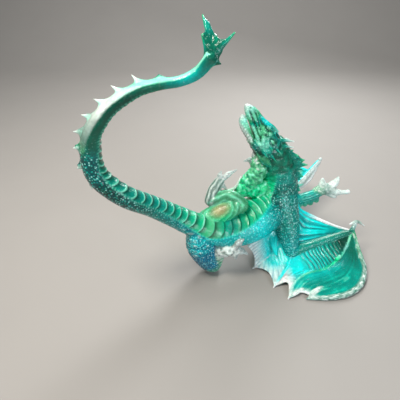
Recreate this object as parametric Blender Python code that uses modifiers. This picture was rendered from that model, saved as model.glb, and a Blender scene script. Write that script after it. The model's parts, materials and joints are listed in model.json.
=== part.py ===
"""A dragon statue, cast in one piece from tinted clear resin.

The dragon lies curled on its back and left side, belly up.  Its neck rises at one end with the
jaws open to the sky, its tail rises at the other end, arches over and ends in a barbed fin.  The
left wing is spread flat towards the front, the right wing reaches back, and all four feet are
free.  It stands on its left knee and the tips of both wings, where the casting is rubbed flat.

Sizes are millimetres on the modeller's bench: +X to the dragon's front, +Y away from the side it
is seen from, +Z up from the table.  FOOTPRINT_MIDDLE is the middle of the statue on that bench.
"""
import math

import bmesh
import bpy
import numpy as np
from mathutils import Vector

MM = 0.001
FOOTPRINT_MIDDLE = Vector((49.55, 370.55, 0.0))

BODY_SIDES = 12
LIMB_SIDES = 8
FINGER_SIDES = 6

SCUTE_STEP = 0.5            # height of a scute's free edge, plus a share of the local depth
SCUTE_STEP_SHARE = 0.07
SCUTE_HALF_ANGLE = math.radians(55)
RING_GAP = 0.3              # from a ring to the edge of its scute
MEMBRANE = 2.4              # thickness of the wing skin
SQUASH = 0.5                # thickness of a flattened limb, of its width
KEPT_FACETS = 0.74          # share of the facets left when the slivers of the join are cleared
WELD = 0.02                 # points closer than this are one

# Backbone from the tail fin to the back of the head: centre, half width, half depth.
BACKBONE = (
    (9, 267, 266, 6.5, 4.5),
    (-2, 269, 254, 4.9, 4.6),
    (-16, 268, 248, 4.1, 4.1),
    (-31, 267, 246, 4.2, 4.3),
    (-47, 264, 243, 4.7, 4.9),
    (-60, 261, 237, 5.2, 5.4),
    (-72, 259, 229, 5.7, 5.9),
    (-82, 259, 218, 6.4, 6.6),
    (-90, 261, 206, 7.4, 7.5),
    (-94, 264, 193, 8.5, 8.6),
    (-96, 265, 180, 9.2, 9.2),
    (-94, 265, 166, 9.9, 9.8),
    (-86, 265, 154, 10.2, 10.1),
    (-70, 268, 138, 10.4, 10.3),
    (-50, 285, 115, 11.0, 10.8),
    (-28, 298, 92, 12.5, 12.2),
    (-8, 301, 78, 14.0, 13.6),
    (8, 303, 70, 17.0, 15.5),
    (28, 310, 63, 21.0, 18.0),
    (50, 319, 61, 25.0, 22.0),
    (71, 332, 65, 27.0, 24.5),
    (89, 344, 73, 25.0, 23.5),
    (99, 351, 89, 21.0, 20.5),
    (98, 354, 108, 19.0, 20.0),
    (93, 354, 126, 17.0, 18.5),
    (88, 352, 141, 14.0, 15.5),
    (79, 351, 157, 12.0, 13.0),
)
# The tail's belly faces the middle of its curl.  From the trunk on, the belly has its own directions.
CURL_MIDDLE = Vector((20, 235, 195))
TRUNK_STARTS = 17
TRUNK_BELLY = ((0.44, -0.43, 0.79), (0.30, -0.26, 0.91), (0.01, -0.11, 0.99), (-0.25, -0.05, 0.97),
               (-0.63, -0.02, 0.77), (-0.96, -0.09, 0.26), (-0.96, -0.24, -0.16), (-0.91, -0.30, -0.30),
               (-0.89, -0.19, -0.42), (-0.85, -0.15, -0.50))
# Length of a belly scute at stations of the backbone, from the first scute to the last.
SCUTE_LENGTHS = ((6, 6.5), (10, 8.5), (13, 10.0), (17, 11.0), (19, 10.5), (21, 9.0), (24, 7.0))
BARE_PITCH = 8.0            # from ring to ring where there are no scutes
SPINE_RIDGE = 1.10
# Leaves of the neck crest: rows back from the head end of the backbone, height, length.
CREST_LEAVES = ((-11, 9, 13), (-15, 14, 16), (-19, 15, 16), (-24, 8, 14), (-30, 5, 13), (-37, 4, 12))
# Leaves of the frill behind the jaw: root, shoulder of the curl, tip.
FRILL = (((101, 350, 137), (112, 350, 139), (121, 350, 132)),
         ((101, 351, 133), (110, 351, 135), (117, 351, 127)),
         ((100, 349, 140), (106, 349, 143), (113, 349, 141)),
         ((100, 352, 129), (107, 352, 130), (112, 352, 122)))

# Head: the tip of the snout, the way back along the skull and the way up through the crown.
SNOUT = Vector((49.5, 357.0, 199.0))
HEAD_BACK = Vector((0.618, -0.107, -0.779)).normalized()
CROWN = Vector((0.72, 0.25, 0.54))
# Distance back from the snout, half width, crown height, palate height.
SKULL = ((0.0, 1.8, 0.8, -2.4), (3.0, 3.8, 3.2, -4.6), (8.0, 5.0, 5.2, -6.4),
         (14.0, 5.8, 6.0, -7.6), (22.0, 7.2, 6.4, -9.8), (29.0, 9.4, 7.2, -12.0),
         (36.0, 11.4, 8.4, -14.2), (44.0, 12.4, 9.2, -17.0), (52.0, 12.4, 9.0, -19.5),
         (61.0, 11.6, 7.4, -21.0), (69.0, 9.6, 3.0, -18.0))
JAW = ((6.5, 1.8, -8.6, -12.4), (9.0, 4.0, -8.2, -16.4), (14.0, 5.2, -9.4, -19.0),
       (21.0, 6.0, -11.4, -20.6), (29.0, 7.2, -13.8, -21.2), (37.0, 8.8, -16.2, -22.4),
       (46.0, 9.8, -15.0, -23.4), (56.0, 9.2, -14.0, -22.6))


def on_bench(point):
    """A bench point in metres, in the statue's own frame."""
    return (Vector(point[:3]) - FOOTPRINT_MIDDLE) * MM


def curve_through(stations, steps):
    """Rows on a Catmull-Rom curve through the stations, `steps` to each span."""
    rows = np.array(stations, float)
    ends = np.vstack([2 * rows[0] - rows[1], rows, 2 * rows[-1] - rows[-2]])
    out = []
    for i in range(len(rows) - 1):
        a, b, c, d = ends[i:i + 4]
        for k in range(steps):
            t = k / steps
            out.append(0.5 * (2 * b + (c - a) * t + (2 * a - 5 * b + 4 * c - d) * t * t
                              + (3 * b - a - 3 * c + d) * t ** 3))
    out.append(rows[-1])
    return np.array(out)


def evenly(stations, count):
    """`count` + 1 rows at even distances along the curve through the stations."""
    fine = curve_through(stations, 12)
    run = np.r_[0, np.cumsum(np.linalg.norm(np.diff(fine[:, :3], axis=0), axis=1))]
    return np.array([at_length(fine, run, s) for s in np.linspace(0, run[-1], count + 1)])


def at_length(rows, run, s):
    """The row at distance s along a curve whose running length is `run`."""
    return np.array([np.interp(s, run, rows[:, k]) for k in range(rows.shape[1])])


def directions(points):
    """Unit directions of travel at each point of a curve."""
    step = np.gradient(np.array(points, float)[:, :3], axis=0)
    return step / np.linalg.norm(step, axis=1)[:, None]


def new_form(name, mesh):
    """A closed form on its own object, with its faces turned outwards."""
    bmesh.ops.recalc_face_normals(mesh, faces=mesh.faces)
    data = bpy.data.meshes.new(name)
    mesh.to_mesh(data)
    mesh.free()
    form = bpy.data.objects.new(name, data)
    forms.objects.link(form)
    return form


def loft(name, rings, first_tip=None, last_tip=None):
    """A closed skin over rings of equal point count, with flat ends or ends drawn to a tip."""
    mesh = bmesh.new()
    rows = [[mesh.verts.new(on_bench(p)) for p in ring] for ring in rings]
    for near, far in zip(rows, rows[1:]):
        for k in range(len(near)):
            n = (k + 1) % len(near)
            mesh.faces.new((near[k], near[n], far[n], far[k]))
    for row, tip in ((rows[0], first_tip), (rows[-1], last_tip)):
        if tip is None:
            mesh.faces.new(row)
            continue
        peak = mesh.verts.new(on_bench(tip))
        for k in range(len(row)):
            mesh.faces.new((row[k], row[(k + 1) % len(row)], peak))
    return new_form(name, mesh)


def ring_round(centre, across, up, radii, sides):
    """Points of an ellipse: radii along `across` and `up`."""
    turns = [math.tau * (k + 0.5) / sides for k in range(sides)]
    return [centre + across * radii[0] * math.sin(t) + up * radii[1] * math.cos(t) for t in turns]


def tube(name, stations, sides=LIMB_SIDES, steps=2, flat=None):
    """A round limb, finger or claw through stations of centre and radius, thinned along `flat`."""
    rows = curve_through(stations, steps)
    way = directions(rows)
    up = Vector(way[0]).orthogonal().normalized()
    rings = []
    for row, ahead in zip(rows, way):
        ahead = Vector(ahead)
        up = (up - ahead * up.dot(ahead)).normalized()
        centre = Vector(row[:3])
        ring = ring_round(centre, ahead.cross(up), up, (row[3], row[3]), sides)
        if flat is not None:
            ring = [p - flat * flat.dot(p - centre) * (1 - SQUASH) for p in ring]
        rings.append(ring)
    start = Vector(rows[0][:3]) - Vector(way[0]) * rows[0][3] * 0.8
    end = Vector(rows[-1][:3]) + Vector(way[-1]) * rows[-1][3]
    return loft(name, rings, start, end)


def fin(name, root, along, out, length, height, thick, lean):
    """A thorn-shaped fin: a diamond base sunk in the skin, sides drawn in, and a point that leans along."""
    across = along.cross(out).normalized()
    rings = []
    for rise, share in ((-3.0, 1.0), (0.35 * height, 0.38)):
        middle = root + out * rise + along * lean * max(rise, 0) / height * 0.6
        rings.append([middle - along * length * share / 2, middle + across * thick * share / 2,
                      middle + along * length * share / 2, middle - across * thick * share / 2])
    return loft(name, rings, None, root + out * height + along * lean)


def backbone_frames():
    """Rows of centre, half width, half depth and belly direction along the backbone."""
    rows = []
    for i, (x, y, z, wide, deep) in enumerate(BACKBONE):
        if i < TRUNK_STARTS:
            belly = (CURL_MIDDLE - Vector((x, y, z))).normalized()
        else:
            belly = Vector(TRUNK_BELLY[i - TRUNK_STARTS])
        rows.append((x, y, z, wide, deep, *belly, i))
    return curve_through(rows, 8)


def body_ring(row, ahead, rise):
    """One ring of the body: flat-bellied, ridged along the back, its scute lifted by `rise`."""
    centre, ahead = Vector(row[:3]), Vector(ahead)
    belly = Vector(row[5:8])
    belly = (belly - ahead * belly.dot(ahead)).normalized()
    across = ahead.cross(belly)
    ring = []
    for k in range(BODY_SIDES):
        turn = math.tau * k / BODY_SIDES
        off_belly = min(turn, math.tau - turn)
        swell = SPINE_RIDGE if off_belly > math.pi - 0.1 else 1.0
        lift = rise if off_belly < SCUTE_HALF_ANGLE else 0.0
        side = across * math.sin(turn) * (row[3] * swell + lift)
        ring.append(centre + side + belly * math.cos(turn) * (row[4] * swell + lift))
    return ring


def body():
    """Tail, trunk and neck in one skin, stepped by the broad scutes of the belly."""
    fine = backbone_frames()
    way = directions(fine)
    run = np.r_[0, np.cumsum(np.linalg.norm(np.diff(fine[:, :3], axis=0), axis=1))]
    rings = []
    places, lengths = zip(*SCUTE_LENGTHS)
    s = 0.0
    while s < run[-1]:
        row, ahead = at_length(fine, run, s), at_length(way, run, s)
        if not places[0] <= row[8] < places[-1]:
            rings.append(body_ring(row, ahead, 0.0))
            s += BARE_PITCH
            continue
        pitch = np.interp(row[8], places, lengths)
        step = SCUTE_STEP + SCUTE_STEP_SHARE * row[4]
        for where, rise in ((s + RING_GAP, step), (s + pitch - RING_GAP, 0.0)):
            rings.append(body_ring(at_length(fine, run, where), at_length(way, run, where), rise))
        s += pitch
    tail_tip = Vector(fine[0][:3]) - Vector(way[0]) * 4
    neck_top = Vector(fine[-1][:3]) + Vector(way[-1]) * 6
    return loft("tail, trunk and neck", rings, tail_tip, neck_top)


def head_point(back, side, up):
    """A point of the head, from its distance back, to the left and up."""
    crown = (CROWN - HEAD_BACK * CROWN.dot(HEAD_BACK)).normalized()
    left = HEAD_BACK.cross(crown)
    return SNOUT + HEAD_BACK * back + left * side + crown * up


def skull_ring(section, sides):
    """One ring of a skull or jaw section: flat below, rounded above."""
    back, wide, top, bottom = section
    ring = []
    for k in range(sides):
        turn = math.tau * (k + 0.5) / sides
        side = math.copysign(abs(math.sin(turn)) ** 0.8, math.sin(turn)) * wide
        rise = math.copysign(abs(math.cos(turn)) ** 0.8, math.cos(turn))
        ring.append(head_point(back, side, (top + bottom) / 2 + rise * (top - bottom) / 2))
    return ring


def head():
    """Skull with open jaws, brows, horns, cheek thorns and eyes."""
    loft("skull", [skull_ring(s, 12) for s in SKULL], head_point(-1, 0, -1),
         head_point(72, 0, -6))
    loft("lower jaw", [skull_ring(s, 10) for s in JAW], head_point(6, 0, -11),
         head_point(62, 0, -17))
    for hand in (-1, 1):
        tube("brow", [(*head_point(20, hand * 4.8, 3.8), 1.6), (*head_point(30, hand * 7.2, 5.4), 2.4),
                      (*head_point(38, hand * 8.6, 7.4), 2.5), (*head_point(45, hand * 9.2, 9.6), 0.7)],
             FINGER_SIDES, 1)
        tube("nostril", [(*head_point(3, hand * 2.2, 2.6), 1.4), (*head_point(8, hand * 3.0, 4.4), 1.5)],
             FINGER_SIDES, 1)
        tube("upper horn", [(*head_point(51, hand * 5.5, 2.5), 2.7), (*head_point(58.5, hand * 6, 10), 1.7),
                            (*head_point(67, hand * 6.3, 18.3), 0.7)], FINGER_SIDES, 1)
        tube("lower horn", [(*head_point(59, hand * 6.5, 1.5), 2.3), (*head_point(65.5, hand * 6.8, 8), 1.4),
                            (*head_point(72, hand * 7, 14), 0.7)], FINGER_SIDES, 1)
        for back, up, reach in ((47, -8, 7), (55, -3, 9), (58, -12, 9), (50, -17, 7)):
            tube("cheek thorn", [(*head_point(back, hand * 8.5, up), 2.4),
                                 (*head_point(back + reach, hand * 13.5, up), 0.5)], 5, 1)


def throat():
    """Three cords from the jaw down the throat."""
    for start, middle, end in (((61, 343, 154), (66, 340, 147), (72, 340, 135)),
                               ((66, 342, 152), (71, 339, 144), (77, 340, 132)),
                               ((71, 341, 150), (76, 339, 141), (82, 341, 129))):
        tube("throat cord", [(*start, 1.6), (*middle, 2.2), (*end, 1.4)], FINGER_SIDES, 1)


def neck_crest():
    """Overlapping leaf-shaped thorns down the back of the neck, and the frill behind the jaw."""
    fine = backbone_frames()
    way = directions(fine)
    for at, height, length in CREST_LEAVES:
        row, ahead = fine[at], Vector(way[at])
        out = -Vector(row[5:8])
        out = (out - ahead * out.dot(ahead)).normalized()
        side = ahead.cross(out)
        for turn in (-0.45, 0.45):
            lean = (out + side * turn).normalized()
            fin("crest leaf", Vector(row[:3]) + lean * row[4], -ahead, lean, length, height, 6, 3)
    for root, curl, tip in FRILL:
        middle = (Vector(root) + Vector(curl)) / 2
        tube("frill leaf", [(*root, 3.0), (*middle, 3.6), (*curl, 3.0), (*tip, 0.6)], FINGER_SIDES, 1,
             Vector((0, 1, 0)))


def back_thorns():
    """Small thorns at even steps along the ridge of the back and the tail."""
    fine = backbone_frames()
    way = directions(fine)
    run = np.r_[0, np.cumsum(np.linalg.norm(np.diff(fine[:, :3], axis=0), axis=1))]
    for s in np.arange(62, run[-1] - 55, 15.5):
        row, ahead = at_length(fine, run, s), Vector(at_length(way, run, s)).normalized()
        out = -Vector(row[5:8])
        out = (out - ahead * out.dot(ahead)).normalized()
        size = min(1.0, 0.62 + row[4] / 40)
        fin("back thorn", Vector(row[:3]) + out * row[4], ahead, out, 15 * size, 11 * size, 4.0, 4)


def tail_fin():
    """A flat fin with three barbs and one low spur, stiffened by ribs."""
    outline = ((-2, 268, 258), (2, 267, 265), (4, 268, 272), (3, 270, 277), (1, 272, 281),
               (4, 274, 283.5), (4, 279, 288), (2, 283, 292.5), (7, 280, 288), (9.5, 276, 283),
               (12.5, 273, 279), (17, 271, 277.5), (21, 271, 279), (26, 272, 282.3), (22, 271, 278),
               (18.5, 269, 274), (16.5, 268, 269), (14, 267, 264), (16.5, 266, 261), (8, 267, 258.5),
               (2, 268, 255))
    mesh = bmesh.new()
    hub = mesh.verts.new(on_bench((9.5, 268, 271)))
    rim = [mesh.verts.new(on_bench(p)) for p in outline]
    for k in range(len(rim)):
        mesh.faces.new((hub, rim[k], rim[(k + 1) % len(rim)]))
    plate = new_form("tail fin", mesh)
    thicken(plate, 2.6)
    for middle, tip in (((7, 271, 275), (2, 283, 292)), ((15, 269, 272), (25.4, 272, 281.8)),
                        ((5, 269, 270), (1.4, 272, 280.6))):
        tube("fin rib", [(4, 267, 259, 3.2), (*middle, 2.4), (*tip, 0.7)], FINGER_SIDES, 2)


def thicken(sheet, thickness):
    """Gives an open skin its thickness, half to each side."""
    shell = sheet.modifiers.new("thickness", "SOLIDIFY")
    shell.thickness = thickness * MM
    shell.offset = 0.0
    shell.use_even_offset = False


def membrane(name, ribs, scallops, sags, across=4, along=6):
    """Wing skin between ribs.  Each panel's free edge is cut in by its scallop and sags."""
    lines = [evenly(rib, along) for rib in ribs]
    mesh = bmesh.new()
    for near, far, scallop, sag in zip(lines, lines[1:], scallops, sags):
        grid = []
        for i in range(across + 1):
            u = i / across
            reach = 1 - scallop * math.sin(math.pi * u) ** 0.8
            row = []
            for j in range(along + 1):
                v = j / along * reach * along
                a = at_length(near, np.arange(along + 1), v)
                b = at_length(far, np.arange(along + 1), v)
                point = Vector(a * (1 - u) + b * u)
                point.z -= sag * math.sin(math.pi * u) * math.sin(math.pi * j / along * 0.9)
                row.append(mesh.verts.new(on_bench(point)))
            grid.append(row)
        for p, q in zip(grid, grid[1:]):
            for j in range(along):
                mesh.faces.new((p[j], p[j + 1], q[j + 1], q[j]))
    bmesh.ops.remove_doubles(mesh, verts=mesh.verts, dist=0.02 * MM)
    bmesh.ops.dissolve_degenerate(mesh, edges=mesh.edges, dist=0.02 * MM)
    sheet = new_form(name, mesh)
    thicken(sheet, MEMBRANE)
    return sheet


def left_wing():
    """The left wing: spread to the front, its free edge resting on the table."""
    shoulder, elbow, wrist = (106, 335, 68), (115, 311, 25), (195, 331, 42)
    rim = (wrist, (196, 321, 36), (200, 313, 26), (206, 304, 14), (204, 290, 6), (192, 273, 3.6),
           (170, 260, 3), (148, 257, 2.6), (126, 257, 1.2))
    fold = (wrist, (189, 321, 36), (176, 304, 28), (162, 294, 20), (147, 289, 16), (122, 283, 12),
            (110, 270, 5), (104, 258, 0.6))
    third = (elbow, (112, 300, 19), (106, 292, 13), (90, 275, 0.6))
    fourth = ((111, 323, 34), (100, 319, 25), (88, 314, 14), (69, 306, 0.6))
    flank = ((90, 332, 54), (76, 322, 46), (66, 312, 42), (58, 307, 38))
    membrane("left wing skin", (rim, fold, third, fourth, flank), (0.10, 0.16, 0.16, 0.10),
             (0, 0, 0, 0))
    lead = ((120, 344, 77), (130, 346, 64), (149, 346, 53), (174, 338, 45), wrist)
    membrane("left wing web", (lead, (shoulder, (110, 321, 35), elbow, (150, 319, 33), wrist)),
             (0.0,), (0,), 2, 6)
    upper = ((98, 349, 87, 20), (103, 341, 74, 18.5), (109, 328, 54, 14.5), (113, 318, 37, 10.5),
             (*elbow, 7.5))
    wing_bones("left", upper, wrist, 2.2,
               ((rim, 3.0, 2.4), (fold, 2.0, 1.4), (third, 2.6, 1.6), (fourth, 2.4, 1.6)), lead)
    tube("left wing claw", [(191, 335, 50, 0.8), (198, 338, 51, 2.0), (204, 340, 50, 2.0),
                            (212, 338, 45, 0.8)], FINGER_SIDES, 2)
    tube("left claw root", [(194, 331, 42, 3.2), (200, 338, 50, 2.2)], FINGER_SIDES, 2)


def right_wing():
    """The right wing: it reaches back behind the shoulders, two of its tips on the table."""
    shoulder, elbow, wrist = (97, 364, 88), (121, 391, 50), (176, 443, 81)
    rim = (wrist, (170, 457, 58.5), (163, 473, 54), (156.5, 486.5, 52))
    second = (wrist, (166, 447, 62), (153, 452, 35), (141, 455, 10))
    third = (wrist, (158, 440, 56), (136, 440, 26), (117, 440, 0.6))
    fourth = (elbow, (114, 403, 31), (107, 412, 15), (101, 421, 0.6))
    fifth = ((115, 384, 60), (106, 386, 38), (103, 389, 22), (101, 392, 8))
    sixth = ((108, 375, 72), (98, 372, 45), (93, 371, 28), (89, 371, 15))
    flank = ((95, 360, 72), (84, 352, 42), (80, 352, 32), (77, 353, 21))
    membrane("right wing skin", (rim, second, third, fourth, fifth, sixth, flank),
             (0.10, 0.14, 0.12, 0.10, 0.10, 0.08), (0, 0, 0, 0, 0, 0), 3, 6)
    lead = ((108, 362, 100), (113, 378, 76), (128, 397, 62), (156, 418, 62), wrist)
    membrane("right wing web", (lead, (shoulder, (109, 378, 68), elbow, (148, 417, 64), wrist)),
             (0.0,), (0,), 2, 6)
    upper = ((*shoulder, 13), (109, 377, 69, 9), (*elbow, 6))
    wing_bones("right", upper, wrist, 3.0,
               ((rim, 2.6, 1.8), (second, 2.2, 1.4), (third, 2.4, 1.5), (fourth, 2.4, 1.5),
                (fifth, 2.0, 1.3), (sixth, 2.0, 1.3)), lead)
    tube("right wing claw", [(175, 442, 79, 2.8), (177, 443.5, 83, 2.2), (178, 444, 85.5, 2.8)],
         FINGER_SIDES, 1)


def wing_bones(hand, upper, wrist, edge, fingers, lead):
    """Upper arm, forearm, leading edge and fingers of one wing, each finger ending in a spike."""
    tube(hand + " upper arm", upper)
    elbow = upper[-1]
    tube(hand + " forearm", [elbow, (*lerp(elbow[:3], wrist, 0.35), 5.4), (*wrist, 3.4)])
    tube(hand + " leading edge", [(*p, edge) for p in lead], FINGER_SIDES, 1)
    for line, root, tip in fingers:
        rows = evenly(line, 6)
        radii = np.linspace(root, tip, 7)
        radii[-1] = 0.9
        spike = Vector(rows[-1]) + (Vector(rows[-1]) - Vector(rows[-2])).normalized() * 1.5
        spike.z = max(spike.z, 0.2)
        stations = [(*p, r) for p, r in zip(rows, radii)]
        stations.append((*spike, 0.5))
        tube(hand + " finger", stations, FINGER_SIDES, 1)


def lerp(a, b, t):
    """The point a share t of the way from a to b."""
    return tuple(p * (1 - t) + q * t for p, q in zip(a, b))


def claws(name, root, tips, thick, hook=2.0):
    """Toes from one root: each a knuckled tube that ends in a hooked claw."""
    for tip in tips:
        middle = lerp(root, tip, 0.55)
        stations = [(*root, thick), (middle[0], middle[1], middle[2] + hook, thick * 0.62),
                    (*lerp(root, tip, 0.85), thick * 0.4), (*tip, 0.5)]
        tube(name, stations, FINGER_SIDES, 1)


def hind_legs():
    """The left hind leg kneels on the table with its foot on the flank, the right one lies over the belly."""
    tube("left thigh", [(-2, 298, 64, 13.5), (1, 300, 46, 16), (9, 302, 27, 15), (15, 304, 14, 12.5),
                        (17, 305, 7, 10)])
    tube("left shin", [(17, 304, 10, 9.5), (20, 300, 24, 8.5), (23, 296, 39, 7.5)])
    tube("left foot", [(23, 295, 42, 7.5), (32, 292, 46, 7.8), (42, 292, 46, 6.5)])
    claws("left toe", (39, 292, 46), ((50, 289, 66), (57, 292, 39), (43, 289, 34)), 5.6)
    tube("right thigh", [(4, 310, 74, 12), (26, 314, 86, 11.5), (40, 317, 91, 10.5), (48, 318, 92, 8.5)])
    tube("right shin", [(48, 319, 93, 8), (38, 321, 101, 7.5), (28, 322, 102, 7), (14, 320, 96, 6.4)])
    tube("right foot", [(12, 321, 97, 6.4), (16, 328, 106, 6.6), (22, 335, 113, 6)])
    claws("right toe", (21, 335, 112), ((43, 344, 125), (31, 331, 106), (36, 340, 121), (25, 341, 125)), 4.2)
    tube("right dew claw", [(22, 328, 103, 2.8), (40, 335, 105, 1.6), (48, 340, 118, 0.5)],
         FINGER_SIDES, 2)


def forelegs():
    """The left foreleg reaches out to the front, the right hand is drawn up to the throat."""
    tube("left upper foreleg", [(98, 344, 82, 11), (110, 344, 82, 8.5), (124, 347, 82, 6)])
    tube("left lower foreleg", [(122, 346, 82, 6), (136, 349, 84, 6), (149, 352, 88, 5.4)])
    for at, tip in (((127, 347, 79), (126, 346, 72.5)), ((133, 348, 80), (133, 347, 73)),
                    ((139, 349, 81), (140, 348, 74)), ((145, 350, 83), (147, 349, 77.5))):
        tube("fringe", [(*at, 5.0), (*tip, 3.2)], FINGER_SIDES, 1, Vector((0, 1, 0)))
    tube("left palm", [(146, 352, 89, 6), (155, 353, 92.5, 7.5), (163, 353, 91, 6.5)])
    for finger in (((153, 353, 93, 5), (152, 355, 99, 4.6), (151.5, 356, 104.5, 2)),
                   ((160, 353, 93, 5), (166, 355, 98, 5), (170, 356, 103.5, 3.2), (170.5, 356, 107, 1.4)),
                   ((160, 353, 90, 5.5), (170, 352, 88.5, 4.6), (179, 352, 88, 2.7), (185, 352, 88.5, 3)),
                   ((160, 352, 88, 4.5), (167, 350, 84, 3), (171, 350, 82, 1.2))):
        tube("left finger", finger, FINGER_SIDES, 1)
    tube("right upper foreleg", [(90, 353, 94, 13), (72, 347, 99, 12), (58, 343, 99, 10), (49, 340, 100, 8)])
    tube("right lower foreleg", [(51, 341, 101, 9), (60, 344, 110, 10.5), (69, 348, 121, 10),
                                 (70, 350, 130, 8)])
    tube("right palm", [(69, 349, 126, 8.5), (67, 350, 133, 8.5), (67, 351, 140, 5.5)])
    claws("right finger", (66, 350, 132), ((72, 351, 145), (60, 351, 145), (51, 349, 134), (64, 343, 137)), 4)


def fuse():
    """One closed casting from all the forms, rubbed flat where it stands."""
    trunk = forms.objects["tail, trunk and neck"]
    for form in list(forms.objects):
        if form != trunk:
            limbs.objects.link(form)
            forms.objects.unlink(form)
    join = trunk.modifiers.new("join", "BOOLEAN")
    join.operation = "UNION"
    join.solver = "EXACT"
    join.operand_type = "COLLECTION"
    join.collection = limbs
    join.use_self = True
    thin = trunk.modifiers.new("fewer slivers", "DECIMATE")
    thin.ratio = KEPT_FACETS
    table = table_block()
    rub = trunk.modifiers.new("rub flat", "BOOLEAN")
    rub.operation = "DIFFERENCE"
    rub.solver = "EXACT"
    rub.object = table
    bpy.context.view_layer.update()
    seen = trunk.evaluated_get(bpy.context.evaluated_depsgraph_get())
    data = bpy.data.meshes.new_from_object(seen)
    for form in list(limbs.objects) + [trunk, table]:
        bpy.data.objects.remove(form)
    clear_slivers(data)
    return data


def clear_slivers(data):
    """Welds points closer than WELD and drops the faces that leaves without area."""
    mesh = bmesh.new()
    mesh.from_mesh(data)
    bmesh.ops.triangulate(mesh, faces=mesh.faces)
    bmesh.ops.remove_doubles(mesh, verts=mesh.verts, dist=WELD * MM)
    bmesh.ops.dissolve_degenerate(mesh, edges=mesh.edges, dist=WELD * MM)
    bmesh.ops.triangulate(mesh, faces=mesh.faces)
    mesh.to_mesh(data)
    mesh.free()


def table_block():
    """The table top, as the cutter that rubs the resting points flat."""
    mesh = bmesh.new()
    bmesh.ops.create_cube(mesh, size=1)
    data = bpy.data.meshes.new("table")
    mesh.to_mesh(data)
    mesh.free()
    block = bpy.data.objects.new("table", data)
    block.scale = (0.6, 0.6, 0.1)
    block.location = (0, 0, -0.05)
    block.display_type = "WIRE"
    block.hide_render = True
    cutters.objects.link(block)
    return block


def resin():
    """Clear cast resin, tinted from deep green to cyan."""
    material = bpy.data.materials.new("tinted clear casting resin")
    material.use_nodes = True
    shader = material.node_tree.nodes["Principled BSDF"]
    shader.inputs["Base Color"].default_value = (0.0, 0.30, 0.24, 1)
    shader.inputs["Roughness"].default_value = 0.12
    shader.inputs["Metallic"].default_value = 0.0
    return material


def main():
    body()
    head()
    throat()
    neck_crest()
    back_thorns()
    tail_fin()
    left_wing()
    right_wing()
    hind_legs()
    forelegs()
    data = fuse()
    dragon = bpy.data.objects.new("dragon", data)
    forms.objects.link(dragon)
    dragon.data.materials.clear()
    dragon.data.materials.append(resin())
    dragon.data.shade_smooth()
    dragon.data.set_sharp_from_angle(angle=math.radians(45))


def new_collection(name):
    """A collection of the scene."""
    collection = bpy.data.collections.new(name)
    bpy.context.scene.collection.children.link(collection)
    return collection


for old in list(bpy.data.objects):
    bpy.data.objects.remove(old)
forms = new_collection("dragon statue")
limbs = new_collection("limbs before the join")
cutters = new_collection("cutters")
main()
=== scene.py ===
import json
import math

import bpy
import numpy as np
from bpy.props import FloatProperty, FloatVectorProperty, IntProperty, PointerProperty
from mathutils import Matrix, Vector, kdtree

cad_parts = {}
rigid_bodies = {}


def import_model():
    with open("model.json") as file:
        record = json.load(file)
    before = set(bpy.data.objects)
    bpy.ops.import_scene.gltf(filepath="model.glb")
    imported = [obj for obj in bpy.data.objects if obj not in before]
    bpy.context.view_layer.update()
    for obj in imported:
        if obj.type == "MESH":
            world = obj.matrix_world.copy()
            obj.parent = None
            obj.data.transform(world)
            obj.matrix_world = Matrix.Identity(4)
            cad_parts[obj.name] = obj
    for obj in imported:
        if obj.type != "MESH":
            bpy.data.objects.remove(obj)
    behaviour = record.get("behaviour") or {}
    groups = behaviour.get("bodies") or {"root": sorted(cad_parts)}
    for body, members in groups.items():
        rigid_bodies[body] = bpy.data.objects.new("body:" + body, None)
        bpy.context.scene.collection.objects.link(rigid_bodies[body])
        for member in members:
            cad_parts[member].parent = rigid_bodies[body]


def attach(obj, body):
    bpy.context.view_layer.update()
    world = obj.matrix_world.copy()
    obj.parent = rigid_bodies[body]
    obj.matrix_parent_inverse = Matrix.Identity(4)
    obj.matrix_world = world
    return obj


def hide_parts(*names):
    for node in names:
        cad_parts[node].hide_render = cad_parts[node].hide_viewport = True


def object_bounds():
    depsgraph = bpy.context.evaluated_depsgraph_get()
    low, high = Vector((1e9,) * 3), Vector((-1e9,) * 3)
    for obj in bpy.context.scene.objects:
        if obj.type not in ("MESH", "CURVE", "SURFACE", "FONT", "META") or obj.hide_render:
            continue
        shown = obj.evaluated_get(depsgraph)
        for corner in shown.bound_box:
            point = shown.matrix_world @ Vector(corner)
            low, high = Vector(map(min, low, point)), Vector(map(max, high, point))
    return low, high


bl_info = {
    "name": "Resin Dragon Statue",
    "version": (1, 0, 0),
    "blender": (4, 5, 0),
    "location": "View3D > Sidebar > Dragon",
    "description": "Models a dragon statue of tinted clear casting resin around its solid",
    "category": "Add Mesh",
}

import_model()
SOLID_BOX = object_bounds()

# Sizes are millimetres on the modeller's bench: +X to the dragon's front, +Y away from the side it
# is seen from, +Z up from the table.  FOOTPRINT_MIDDLE is the middle of the statue on that bench.
MM = 0.001
TURN = 2 * math.pi
FOOTPRINT_MIDDLE = np.array((49.55, 370.55, 0.0))
# The camera: its place on the bench, its tilt down from level, its lens and the width of its film.
CAMERA_PLACE = np.array((0.0, 0.0, 324.0))
CAMERA_TILT = math.radians(35.15)
LENS = 30.42
FILM = 36.0

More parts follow.
